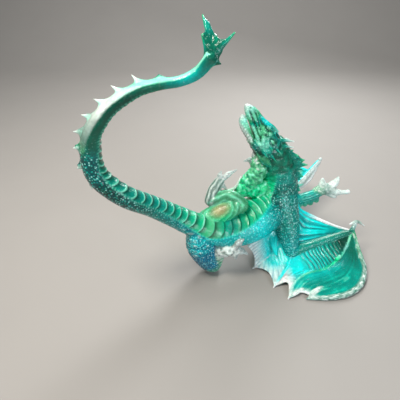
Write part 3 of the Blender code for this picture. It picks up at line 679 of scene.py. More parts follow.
def model_head():
    """Skull and open lower jaw, eyes, brows, horns, cheek thorns and throat cords."""
    head_form("skull", SKULL, skull_relief, skull_paint, (-1, 0, -1), (73, 0, -7))
    head_form("lower jaw", JAW, jaw_relief, jaw_paint, (5.6, 0, -11), (63, 0, -18))
    back, up = EYE_PLACE
    for hand in (-1, 1):
        limb("eye", on_head(hand, (back - 0.6, 10.4, up, 2.0), (back + 0.6, 10.4, up, 2.0)),
             "mint sage", grain=0.0, gap=0.5)
        for name, high in (("upper lid", 3.1), ("lower lid", -2.6)):
            limb(name, on_head(hand, (back - 5.2, 10.6, up, 0.6), (back - 2.2, 11.7, up + high * 0.8, 1.2),
                               (back + 2.0, 12.0, up + high * 0.95, 1.2),
                               (back + 5.4, 11.6, up + high * 0.3, 0.6)),
                 "forest deep forest", 12, grain=0.0, gap=0.8)
        limb("brow", on_head(hand, (20, 4.8, 3.8, 1.6), (30, 7.2, 5.4, 2.4), (38, 8.6, 7.4, 2.5),
                             (45, 9.2, 9.6, 0.7)),
             "teal cyan teal mint", 24, scales=0.4, columns=8, painted_highlight_share=0.5, grain=0.4)
        for places in (((51, 5.5, 2.5, 2.7), (58.5, 6, 10, 1.7), (67, 6.3, 18.3, 0.7)),
                       ((59, 6.5, 1.5, 2.3), (65.5, 6.8, 8, 1.4), (72, 7, 14, 0.7))):
            limb("horn", on_head(hand, *places), "deep teal clear", 16)
        for at, height, reach in ((47, -8, 7), (55, -3, 9), (58, -12, 9), (50, -17, 7)):
            leaf("cheek thorn", head_point(at + 1, hand * 8.5, height), HEAD_LEFT * hand,
                 unit(HEAD_BACK * reach + HEAD_LEFT * hand * 5), 7.0, reach + 3.5, 3.0, 1.5,
                 "deep teal sage")
    for start, middle, end in (((61, 343, 154), (66, 340, 147), (72, 340, 135)),
                               ((66, 342, 152), (71, 339, 144), (77, 340, 132)),
                               ((71, 341, 150), (76, 339, 141), (82, 341, 129))):
        limb("throat cord", [(*start, 1.6), (*middle, 2.2), (*end, 1.4)], "deep sage teal", 16, grain=0.4)


def leaf(name, root, along, out, long, high, thick, lean, dyes, cusp=1.25):
    """A thorn shaped as a pointed leaf with a midrib: its base is sunk, its tip leans along.

    A larger `cusp` draws its sides in."""
    count, sides, sunk, least = 22, 20, 3.0, 0.25
    across = unit(np.cross(along, out))
    t = np.linspace(0, 1, count)[:, None]
    centre = root - out * sunk + out * (high + sunk) * t + along * lean * t ** 1.7
    half_long = long / 2 * (0.25 * (1 - t) ** 0.5 + 0.75 * (1 - t) ** cusp) + least
    half_thick = thick / 2 * (1 - t) ** 0.8 + least
    theta = round_angles(sides)
    wave = 1 + 0.10 * np.cos(6 * theta)[None, :]
    rings = (centre[:, None]
             + along * (np.cos(theta)[None, :] * half_long)[..., None]
             + across * (np.sin(theta)[None, :] * half_thick * wave)[..., None])
    tints = along_dyes(dyes, t) * np.ones((1, sides, 1))
    skin_over(name, rings, tints, centre[0], centre[-1] + out * 0.4, 0.1)


# Leaves of the frill behind the jaw: root, shoulder of the curl, tip.
FRILL = (((101, 350, 137), (112, 350, 139), (121, 350, 132)),
         ((101, 351, 133), (110, 351, 135), (117, 351, 127)),
         ((100, 349, 140), (106, 349, 143), (113, 349, 141)),
         ((100, 352, 129), (107, 352, 130), (112, 352, 122)))


def model_thorns():
    """The leaves of the neck crest and its frill, and the thorns along the ridge of the back and tail."""
    rows = curve_through(backbone(), BACKBONE_STEPS)
    way, run = travel(rows), running_length(rows)
    for at, high, long in CREST_LEAVES:
        row, ahead = rows[at], way[at]
        out = unit(-row[5:8] + ahead * np.dot(row[5:8], ahead))
        side = np.cross(ahead, out)
        for turn in (-0.45, 0.45):
            lean = unit(out + side * turn)
            root = row[:3] + lean * row[4]
            leaf("crest leaf", root, -ahead, lean, long, high, 4.6, 4, "deep teal sage")
            for share in (0.35, -0.3):
                leaf("crest leaflet", root + ahead * long * share, -ahead,
                     unit(lean + side * turn * 1.2), long * 0.6, high * 0.62, 3.0, 3, "deep teal")
    for root, curl, tip in FRILL:
        limb("frill leaf", [(*root, 3.0), (*(np.add(root, curl) / 2), 3.6), (*curl, 2.8), (*tip, 0.7)],
             "forest deep teal sage", 28, squash=((-0.1, 1.0, 0.1), 0.5),
             sculpt=ridges(7, 0.6, 0.0, "sage", 0.35))
    for s in np.arange(THORNS_START, run[-1] - THORNS_STOP, THORN_STEP):
        row, ahead = rows_at(rows, run, s), unit(rows_at(way, run, s))
        out = unit(-row[5:8] + ahead * np.dot(row[5:8], ahead))
        size = min(1.0, 0.62 + row[4] / 40)
        dyes = "mint clear" if s < THORNS_GREEN else "sea mint mint"
        leaf("back thorn", row[:3] + out * row[4], ahead, out, 15 * size, 11 * size, 4.0, 4, dyes, 2.2)


FIN_OUTLINE = ((-2, 268, 258), (2, 267, 265), (4, 268, 272), (3, 270, 277), (1, 272, 281),
               (4, 274, 283.5), (4, 279, 288), (2, 283, 292.5), (7, 280, 288), (9.5, 276, 283),
               (12.5, 273, 279), (17, 271, 277.5), (21, 271, 279), (26, 272, 282.3), (22, 271, 278),
               (18.5, 269, 274), (16.5, 268, 269), (14, 267, 264), (16.5, 266, 261), (8, 267, 258.5),
               (2, 268, 255))
FIN_MIDDLE = np.array((9.5, 268.0, 271.0))
FIN_RIBS = (((7, 271, 275), (2, 283, 292)), ((15, 269, 272), (25.4, 272, 281.8)),
            ((5, 269, 270), (1.4, 272, 280.6)), ((11, 270, 273), (12, 274, 280)))


def model_tail_fin():
    """A leaf-shaped fin with three barbs and a low spur, thick in the middle and ribbed."""
    outline = np.array(FIN_OUTLINE, float)
    parts, steps, thick = 6, 14, 1.9    # parts to a side, rings, half the thickness in the middle
    rim = []
    for here, there in zip(outline, np.roll(outline, -1, 0)):
        for k in range(parts):
            t = k / parts
            pull = (FIN_MIDDLE - (here + there) / 2) * 0.05 * math.sin(math.pi * t)
            rim.append(here * (1 - t) + there * t + pull)
    rim = np.array(rim)
    v = (np.arange(1, steps + 1) / steps)[:, None, None]
    middle = FIN_MIDDLE * (1 - v) + rim[None] * v
    facing = unit(np.cross(outline[13] - outline[0], outline[7] - outline[0]))
    ribs = 0.3 * np.cos(np.arange(len(rim)) * 0.55)[None, :, None] * np.sin(math.pi * v)
    half = thick - 1.0 * v ** 2 + ribs
    count = len(rim)
    front = (middle + facing * half).reshape(-1, 3)
    back = (middle - facing * half).reshape(-1, 3)
    points = np.vstack([front, back, FIN_MIDDLE + facing * thick, FIN_MIDDLE - facing * thick])
    index = np.arange(steps * count).reshape(steps, count)
    quads = ring_quads(index)
    shift = index.size
    edge = index[-1]
    hem = np.stack([edge, np.roll(edge, -1), np.roll(edge, -1) + shift, edge + shift], -1)
    caps = [tip_fan(index[0][::-1], 2 * shift), tip_fan(index[0] + shift, 2 * shift + 1)]
    share = np.linalg.norm(points - np.array((6, 268, 256)), axis=1) / 40
    tints = along_dyes("teal deep deep deep teal sea", share)
    add_form("tail fin", points, [quads, quads[:, ::-1] + shift, hem, *caps], tints, 0.2)
    for middle_point, tip in FIN_RIBS:
        limb("fin rib", [(4, 267, 259, 3.0), (*middle_point, 2.3), (*tip, 0.8)], "teal deep teal sage", 16)


RIB_ROWS = 120              # fine rows along a rib, from which the skin takes its edges
HEM, HEM_WIDTH = 0.5, 2.2   # how far the free edge is thickened to each side, and how broadly
SKIN_TRIM = 0.15            # taken off each side of the skin, for what the fusing grid adds


def wing_panel(name, ribs, scallop, ripple, paint, grain=0.03, gap=1.0):
    """A closed slab of wing skin between two ribs, its free edge cut in by the scallop."""
    long = max(span(rib) for rib in ribs)
    wide = max(np.linalg.norm(np.subtract(ribs[0][end], ribs[1][end])) for end in (0, -1))
    down, over = max(12, int(long / gap)), max(14, int(wide / gap))
    u = np.linspace(0, 1, over + 1)[:, None]
    v = np.linspace(0, 1, down + 1)[None, :]
    reach = v * (1 - scallop * np.sin(math.pi * u) ** 0.8)
    marks = np.linspace(0, 1, RIB_ROWS + 1)
    near, far = (rows_at(evenly(rib, RIB_ROWS), marks, reach) for rib in ribs)
    middle = near * (1 - u[..., None]) + far * u[..., None]
    facing = unit(np.cross(np.gradient(middle, axis=0), np.gradient(middle, axis=1)))
    facing = facing * np.sign(facing[over // 2, down // 2, 2])
    lift = ripple(u, v, middle)
    hem = bell((1 - v) * long, HEM_WIDTH) * HEM
    half = sizes()["skin"] / 2 + hem - SKIN_TRIM
    top = (middle + facing * (lift + half)[..., None]).reshape(-1, 3)
    low = (middle + facing * (lift - half)[..., None]).reshape(-1, 3)
    index = np.arange((over + 1) * (down + 1)).reshape(over + 1, down + 1)
    quads = np.stack([index[:-1, :-1], index[:-1, 1:], index[1:, 1:], index[1:, :-1]], -1).reshape(-1, 4)
    border = np.r_[index[0], index[1:, -1], index[-1, -2::-1], index[-2:0:-1, 0]]
    shift = index.size
    wall = np.stack([border, border + shift, np.roll(border, -1) + shift, np.roll(border, -1)], -1)
    tints = np.clip(paint(u * np.ones_like(v), v * np.ones_like(u), middle), 0, 1).reshape(-1, 3)
    add_form(name, np.vstack([top, low]), [quads[:, ::-1], quads + shift, wall[:, ::-1]],
             np.vstack([tints, tints]), grain)


def finger(name, line, root, tip, dyes, sculpt=None):
    """A wing finger along its line, ending in a spike that stays above the table."""
    steps, spike_root, spike_tip, spike_long, lowest = 6, 1.0, 0.8, 1.5, 0.6
    rows = evenly(line, steps)
    radii = np.linspace(root, tip, steps + 1)
    radii[-1] = spike_root
    spike = rows[-1] + unit(rows[-1] - rows[-2]) * spike_long
    spike[2] = max(spike[2], lowest)
    stations = [(*p, r) for p, r in zip(rows, radii)] + [(*spike, spike_tip)]
    limb(name, stations, dyes, 20 if sculpt is None else 36, scales=0.25, columns=6, sculpt=sculpt)


def pleats(count, phase, high):
    """Relief of uneven pleats that run out from the arm, flat at the root."""
    return lambda u, v, at: high * (lines(u, count, phase) - 0.4) * smooth(0.04, 0.35, v)


def model_left_wing():
    """The left wing: spread to the front, its free edge down on the table.

    A skin's relief and paint are given across it, along it and by its place on the bench."""
    shoulder, elbow, wrist = (106, 335, 68), (115, 311, 25), (195, 331, 42)
    rim = (wrist, (196, 321, 36), (200, 313, 26), (206, 304, 14), (204, 290, 6), (192, 273, 3.6),
           (170, 260, 3), (148, 257, 2.6), (126, 257, 1.6))
    fold = (wrist, (189, 321, 36), (176, 304, 28), (162, 294, 20), (147, 289, 16), (122, 283, 12),
            (110, 270, 5), (104, 258, 1.4))
    third = (elbow, (112, 300, 19), (106, 292, 13), (90, 275, 1.6))
    fourth = ((111, 323, 34), (100, 319, 25), (88, 314, 14), (69, 306, 1.6))
    flank = ((90, 332, 54), (76, 322, 46), (66, 312, 42), (58, 307, 38))
    lead = ((120, 344, 77), (130, 346, 64), (149, 346, 53), (174, 338, 45), wrist)
    arm = (shoulder, (110, 321, 35), elbow, (150, 319, 33), wrist)
    arm_way = unit(np.subtract(wrist, elbow))

    def along_arm(at):
        return (at - elbow) @ arm_way

    def outer_paint(u, v, at):
        tints = tones(u, (0.0, "glass"), (0.15, "teal"), (0.6, "teal"), (0.95, "sea"))
        tints = dyed(tints, "deep", 0.9 * (1 - smooth(0.2, 0.5, v)) * smooth(0.08, 0.4, u))
        drift = swirls(at[..., 0] * 0.30, at[..., 1] * 0.35, v * 3)
        streak = lines(u + 0.02 * drift, 17, 1.7) * (0.55 + 0.45 * swirls(v * 30, u * 25, 0 * v))
        tints = mix(tints * 0.72, tints * 1.12, np.clip(streak + 0.4 + 0.3 * drift, 0, 1))
        tints = dyed(tints, "mint", 0.65 * np.clip(streak * 1.3 - 0.2, 0, 1) * smooth(0.35, 0.75, v))
        return dyed(tints, "clear", bell(1 - v, 0.05))

    def waves(u, v, at):
        reach = along_arm(at)
        window = (smooth(4, 16, reach) * (1 - smooth(60, 70, reach)) * smooth(0.02, 0.12, v)
                  * (1 - smooth(0.50, 0.72, v)) * smooth(0.02, 0.10, u))
        wave = swell(TURN * (reach / 4.6 + 0.35 * np.sin(9 * v) + 0.2 * np.sin(0.21 * reach)))
        return wave * window, window

    def waved(u, v, at):
        return 0.8 * waves(u, v, at)[0]

    def waved_paint(u, v, at):
        wave, window = waves(u, v, at)
        reach = along_arm(at)
        tints = tones(reach, (-20, "clear"), (-6, "cyan"), (4, "cyan"), (22, "sea"), (46, "teal"),
                      (62, "forest"))
        # Painted shade in the troughs of the waves and painted light on their crests, with a painted
        # highlight of cyan near the elbow.
        tints = mix(tints, mix(tints * 0.35, tints * 1.3, wave), window)
        tints = dyed(tints, "cyan", 0.3 * wave * (1 - smooth(20, 50, reach)))
        tints = mix(tints, mix(tints * 0.5, tints * 1.3, lines(u, 7, 0.9)), smooth(0.5, 0.75, v))
        return dyed(tints, "clear", 0.9 * smooth(0.84, 0.98, v))

    def fan(at):
        """Turn, distance and crease of the pleats that run out from their root on the inner skin."""
        first, last = unit(np.subtract(third[-1], FAN_ROOT)), unit(np.subtract(flank[-1], FAN_ROOT))
        last = unit(last - first * np.dot(last, first))
        out = at - FAN_ROOT
        turn = np.arctan2(out @ last, out @ first)
        far = np.hypot(out @ last, out @ first)
        wander = turn * 11.5 + 0.25 * np.sin(0.16 * far + 5 * turn)
        return turn, far, bell(wander - np.round(wander), 0.13) * smooth(5, 14, far)

    def fan_lift(u, v, at):
        return 0.4 - 0.8 * fan(at)[2]

    def fan_paint(u, v, at):
        turn, far, crease = fan(at)
        relief, lot = scale_pattern(far / 2.4, turn * 16)
        tints = dyed(dye("cyan")[0], "clear", smooth(24, 50, far + 12 * turn) * smooth(-0.1, 0.45, turn))
        tints = dyed(tints, "clear", 0.8 * smooth(38, 56, far))
        flank_side = smooth(0.75, 1.15, turn)
        scaled = scaly(tones(far, (10, "sea"), (24, "cyan"), (42, "clear")), relief, lot, 0.8)
        tints = mix(tints, scaled, 0.45 * flank_side)
        streak = 0.5 + 0.5 * np.sin(turn * 75 + 0.2 * far)
        tints = mix(tints * 0.85, tints * 1.1, streak)
        # The radiating dark lines lie in sunk creases: their navy is partly their own tint and partly
        # painted shade.
        return dyed(tints, "navy", 0.55 * crease)

    def web_lift(u, v, at):
        return 0.9 * (lines(u, 8, 0.9) - 0.4) * smooth(0.02, 0.15, v) * (1 - smooth(0.45, 0.7, v))

    def web_paint(u, v, at):
        relief, lot = scale_pattern(v * 26, u * 12)
        stripe = lines(u, 8, 0.9)
        tints = tones(v, (0.0, "teal"), (0.08, "sea"), (0.2, "cyan"), (0.5, "cyan"), (0.7, "sea"),
                      (0.9, "teal"), (1.0, "deep"))
        # The web's dark stripes lie in the hollows between raised stripes: ink there is partly their own
        # tint and partly painted shade, and mint on the raised stripes is a painted highlight.
        tints = mix(dyed(tints * 0.5, "ink", 0.35), tints * 1.1, np.clip(stripe * 1.5, 0, 1))
        tints = dyed(tints, "mint", 0.4 * stripe ** 2 * bell(v - 0.28, 0.14))
        tints = mix(tints, scaly(tints, relief, lot, 0.8), 1 - smooth(0.12, 0.3, v))
        tints = dyed(tints, "forest", 0.8 * smooth(0.55, 0.95, u) * smooth(0.35, 0.6, v))
        return dyed(tints, "clear", bell(u, 0.045))

    wing_panel("outer wing skin", (rim, fold), 0.10, pleats(9, 1.7, 0.55), outer_paint)
    wing_panel("waved wing skin", (fold, third), 0.16, waved, waved_paint)
    wing_panel("inner wing skin", (third, fourth), 0.16, fan_lift, fan_paint, grain=0.05)
    wing_panel("flank wing skin", (fourth, flank), 0.10, fan_lift, fan_paint, grain=0.2)
    wing_panel("wing web", (lead, arm), 0.0, web_lift, web_paint)
    upper = ((98, 349, 87, 20), (103, 341, 74, 18.5), (109, 328, 54, 14.5), (113, 318, 37, 10.5),
             (*elbow, 7.5))
    wing_bones("left", upper, wrist, 1.8, lead, "teal teal teal teal sea sea", "teal teal deep")
    finger("wing rim", rim, 3.1, 2.5, "sage glass glass glass",
           crinkles(0.8, 1.05, "forest", "clear", 0.95))
    finger("wing ridge", fold, 1.2, 1.2, "sage mint spring sage mint clear")
    finger("wing rib", third, 2.6, 1.6, "navy cyan cyan clear")
    finger("wing rib", fourth, 1.9, 1.5, "cyan cyan clear clear")
    for stations in (((104.5, 258.5, 1.6, 0.8), (113, 263, 4, 2.3), (122, 268, 5, 1.2)),
                     ((126.5, 257.5, 1.8, 0.8), (132, 262, 4.2, 2.2), (140, 267, 5.6, 2.2),
                      (150, 272, 6, 0.8))):
        limb("curled hem", stations, "glass clear clear", 28, grain=0.0,
             sculpt=crinkles(0.5, 2.0, "glass", "clear", 0.9))
    limb("ridge joint", [(172, 300, 27.5, 2.1), (168, 297, 25.5, 2.1)], "mint spring", 16, grain=0.4,
         gap=0.8)
    for at, middle, tip in (((97, 328, 44), (95, 318, 34), (96, 306, 24)),
                            ((89, 330, 46), (90, 320, 36), (94, 308, 25))):
        limb("wing pleat", [(*at, 1.2), (*middle, 2.4), (*tip, 1.0)], "sea cyan cyan", 16)
    limb("thumb claw", [(191, 335, 50, 0.8), (198, 338, 51, 2.0), (204, 340, 50, 2.0), (212, 338, 45, 0.8)],
         "clear glass clear", 16, gap=0.8)
    limb("thumb root", [(194, 331, 42, 3.2), (200, 338, 50, 2.2)], "teal clear", 16, grain=0.4, gap=0.8)


def model_right_wing():
    """The right wing: it reaches back behind the shoulders, two of its tips on the table."""
    shoulder, elbow, wrist = (97, 364, 88), (121, 391, 50), (176, 443, 81)
    ribs = ((wrist, (170, 457, 58.5), (163, 473, 54), (156.5, 486.5, 52)),
            (wrist, (166, 447, 62), (153, 452, 35), (141, 455, 10)),
            (wrist, (158, 440, 56), (136, 440, 26), (117, 440, 1.6)),
            (elbow, (114, 403, 31), (107, 412, 15), (101, 421, 1.6)),
            ((115, 384, 60), (106, 386, 38), (103, 389, 22), (101, 392, 8)),
            ((108, 375, 72), (98, 372, 45), (93, 371, 28), (89, 371, 15)),
            ((95, 360, 72), (84, 352, 42), (80, 352, 32), (77, 353, 21)))
    lead = ((108, 362, 100), (113, 378, 76), (128, 397, 62), (156, 418, 62), wrist)
    arm = (shoulder, (109, 378, 68), elbow, (148, 417, 64), wrist)

    def paint(u, v, at):
        crease = lines(u, 5, 1.3)
        tints = tones(v, (0.0, "sea"), (0.25, "cyan"), (0.6, "cyan"), (0.8, "mint"), (1.0, "clear"))
        # Painted shade in the hollows of the pleats, painted light on their crests, and a painted highlight
        # of clear on the crests near the free edge.
        tints = mix(tints * 0.5, tints * 1.2, crease)
        return dyed(tints, "clear", 0.8 * smooth(0.6, 0.95, v) * crease)

    def web_paint(u, v, at):
        tints = dyed(dye("cyan")[0], "teal", lines(u, 4, 0.4))
        return dyed(tints, "clear", 0.9 * bell(u, 0.22))

    def pale_edge(run, theta, tints):
        # A slot along the forearm, darkened with glass as painted shade.
        slot = bell(np.sin(theta) - 0.45, 0.12) * np.ones_like(run)
        tints = dyed(tints, "clear", smooth(-0.05, 0.25, np.sin(theta)) * np.ones_like(run))
        return -0.5 * slot, dyed(tints, "glass", 0.8 * slot)

    for near, far, scallop in zip(ribs, ribs[1:], (0.10, 0.14, 0.12, 0.10, 0.10, 0.08)):
        wing_panel("right wing skin", (near, far), scallop, pleats(5, 1.3, 0.8), paint)
    wing_panel("right wing web", (lead, arm), 0.0, pleats(4, 0.4, 0.7), web_paint)
    upper = ((*shoulder, 13), (109, 377, 69, 9), (*elbow, 6))
    wing_bones("right", upper, wrist, 3.0, lead, "teal teal sea", "sea cyan cyan", pale_edge)
    for line, root, tip in zip(ribs, (2.6, 2.2, 2.4, 2.4, 2.0, 2.0), (1.8, 1.4, 1.5, 1.5, 1.3, 1.3)):
        finger("right wing rib", line, root, tip, "cyan cyan mint")
    limb("right thumb", [(175, 442, 79, 2.8), (177, 443.5, 83, 2.2), (178, 444, 85.5, 2.8)],
         "clear clear", 16, grain=0.4)


def wing_bones(hand, upper, wrist, edge, lead, upper_dyes, lower_dyes, sculpt=None):
    """Upper arm, forearm and leading edge of one wing."""
    elbow, wrist = np.array(upper[-1][:3], float), np.array(wrist, float)
    limb(hand + " upper arm", upper, upper_dyes, 120, scales=1.4, columns=32, grain=0.6, gap=0.7,
         painted_highlight_share=1.0, hollow_shade=0.25)
    limb(hand + " forearm", [upper[-1], (*(elbow * 0.65 + wrist * 0.35), 5.4), (*wrist, 3.4)],
         lower_dyes, 52, scales=0.3, columns=18, grain=0.35, sculpt=sculpt)
    limb(hand + " leading edge", [(*p, edge) for p in lead], "cyan cyan clear clear clear", 20,
         scales=0.3, columns=6)


def claws(name, root, tips, thick, dyes, hook=2.0):
    """Toes from one root: each has two knuckles and a hooked claw."""
    root = np.array(root, float)
    for tip in tips:
        tip = np.array(tip, float)
        bend = np.array((0, 0, hook))
        stations = [(*root, thick), (*(root * 0.70 + tip * 0.30 + bend * 0.7), thick * 0.70),
                    (*(root * 0.45 + tip * 0.55 + bend), thick * 0.78),
                    (*(root * 0.28 + tip * 0.72 + bend * 0.8), thick * 0.46),
                    (*(root * 0.12 + tip * 0.88 + bend * 0.4), thick * 0.34), (*tip, 0.7)]
        limb(name, stations, dyes, 24, scales=0.3, columns=9, grain=0.3, gap=0.8,
             sculpt=ridges(3, 0.35, 0.0, "clear", 0.4))


def folds_round(middle_run, middle_turn, pitch, high, core):
    """Sculpts oval folds round a spot of a limb, its core in a dye of its own; the folds carry painted
    shade in their troughs and painted light on their crests, with a painted highlight of mint on the outer
    crests.
    """
    def sculpt(run, theta, tints):
        turn = (theta - middle_turn + math.pi) % TURN - math.pi
        far = np.hypot((run - middle_run) / 1.6, turn * 9)
        wave = swell(TURN * (far + 0.25 * run) / pitch) ** 1.5 * (1 - smooth(14, 20, far))
        fine = swirls(run * 1.7, 15 * np.cos(theta), 15 * np.sin(theta))
        tints = dyed(tints, core, 0.8 * (1 - smooth(2.5, 9.5, far)))
        tints = mix(tints * 0.6, tints * 1.12, 0.35 + 0.65 * np.clip(wave + 0.3 * fine, 0, 1))
        tints = dyed(tints, "mint", 0.35 * wave * smooth(6, 9, far))
        return (high * wave + 0.35 * fine) * smooth(5, 8, far), tints
    return sculpt


def model_legs():
    """Both hind legs and both forelegs, with their toes and claws."""
    limb("left thigh", [(-2, 298, 64, 13.5), (1, 300, 46, 16), (9, 302, 27, 15), (15, 304, 14, 12.5),
                        (17, 305, 8.5, 9.0)],
         "cyan cyan cyan navy navy navy sage clear", 104, scales=1.3, columns=30,
         grain=0.7, gap=0.7, painted_highlight_share=1.0, hollow_shade=0.35,
         sculpt=fading(crinkles(1.3, 1.5, "navy", "clear", 0.9), 26, 44))
    limb("left shin", [(17, 304, 10, 9.5), (20, 300, 24, 8.5), (23, 296, 39, 7.5)],
         "glass sage clear", 48, grain=0.2, sculpt=crinkles(0.8, 1.6, "deep", "clear", 0.8))
    limb("left foot", [(23, 295, 42, 7.2), (32, 292, 46, 7.5), (42, 292, 46, 6.2)], "clear clear", 48,
         sculpt=crinkles(1.3, 1.5, "forest", "clear", 0.95))
    claws("left toe", (39, 292, 46), ((50, 289, 66), (57, 292, 39), (43, 289, 34)), 5.4, "clear clear")
    limb("right thigh", [(4, 310, 74, 12), (26, 314, 86, 11.5), (40, 317, 91, 10.5), (48, 318, 92, 8.5)],
         "straw sage spring sage sage", 64, grain=0.2, gap=0.9,
         sculpt=folds_round(36, 0.95, 5.2, 1.0, "peach"))
    limb("right shin", [(48, 319, 93, 8), (38, 321, 101, 7.5), (28, 322, 102, 7), (14, 320, 96, 6.4)],
         "sage sage sage glass", 60, sculpt=ridges(6, 1.0, 0.02, "mint", 0.55))
    limb("right foot", [(12, 321, 97, 6.4), (16, 328, 106, 6.6), (22, 335, 113, 6)], "glass glass",
         60, sculpt=ridges(7, 1.1, 0.03, "clear", 0.95))
    claws("right toe", (21, 335, 112), ((43, 344, 125), (31, 331, 106), (36, 340, 121), (25, 341, 125)),
          4.2, "glass clear clear")
    limb("right dew claw", [(22, 328, 103, 2.8), (40, 335, 105, 1.6), (48, 340, 118, 0.7)],
         "sage clear", 16)
    limb("left upper foreleg", [(98, 344, 82, 11), (110, 344, 82, 8.5), (124, 347, 82, 6)],
         "navy teal sea", 48, scales=0.8, columns=16, painted_highlight_share=0.4, grain=0.4)
    limb("left lower foreleg", [(122, 346, 82, 6), (136, 349, 84, 6), (149, 352, 88, 5.4)],
         "teal sea sea", 52, sculpt=ridges(11, 0.7, 0.12, "mint", 0.6))
    for at, tip in (((127, 347, 79), (126, 346, 72.5)), ((133, 348, 80), (133, 347, 73)),
                    ((139, 349, 81), (140, 348, 74)), ((145, 350, 83), (147, 349, 77.5))):
        limb("fringe", [(*at, 5.0), (*tip, 3.4)], "teal sea sage", 28, squash=((0, 1, 0), 0.5),
             sculpt=ridges(9, 0.5, 0.0, "mint", 0.5))
    limb("left palm", [(146, 352, 89, 6), (155, 353, 92.5, 7.5), (163, 353, 91, 6.5)],
         "sage glass clear", 48, sculpt=crinkles(0.9, 1.7, "glass", "clear", 0.9))
    for stations in (((153, 353, 93, 5), (152, 355, 99, 4.6), (151.5, 356, 104.5, 2)),
                     ((160, 353, 93, 5), (166, 355, 98, 5), (170, 356, 103.5, 3.2), (170.5, 356, 107, 1.4)),
                     ((160, 353, 90, 5.5), (170, 352, 88.5, 4.6), (179, 352, 88, 2.7), (185, 352, 88.5, 3)),
                     ((160, 352, 88, 4.5), (167, 350, 84, 3), (171, 350, 82, 1.2))):
        limb("left finger", stations, "glass clear clear", 32,
             sculpt=crinkles(0.6, 2.0, "glass", "clear", 0.95))
    limb("right upper foreleg", [(90, 352, 94, 13), (72, 347, 99, 12), (58, 343, 99, 10),
                                 (49, 340, 100, 8)],
         "teal sage spring sage", 80, sculpt=crinkles(1.5, 1.15, "deep", "mint", 0.8))
    limb("right lower foreleg", [(51, 341, 101, 9), (60, 344, 110, 10.5), (69, 348, 121, 10),
                                 (70, 350, 130, 8)],
         "spring sage sage", 80, sculpt=crinkles(1.5, 1.25, "deep", "mint", 0.8))
    limb("right palm", [(69, 349, 126, 8.5), (67, 350, 133, 8.5), (67, 351, 140, 5.5)], "sage sage", 60,
         sculpt=crinkles(1.2, 1.6, "forest", "clear", 0.8))
    claws("right finger", (66, 350, 132), ((72, 351, 145), (60, 351, 145), (51, 349, 134), (64, 343, 137)),
          4, "sage glass clear")


def node(tree, kind, place, links=(), **settings):
    """Adds a shader node at a place, with its links as (input, output socket) and its settings.

    A setting's name is the node's own or an input's, with _ for each space."""
    made = tree.nodes.new("ShaderNode" + kind)
    made.location = (place[0] * 220, place[1] * -220)
    for key, value in settings.items():
        if hasattr(made, key):
            setattr(made, key, value)
        else:
            made.inputs[key.replace("_", " ")].default_value = value
    for name, socket in links:
        tree.links.new(socket, made.inputs[name])
    return made


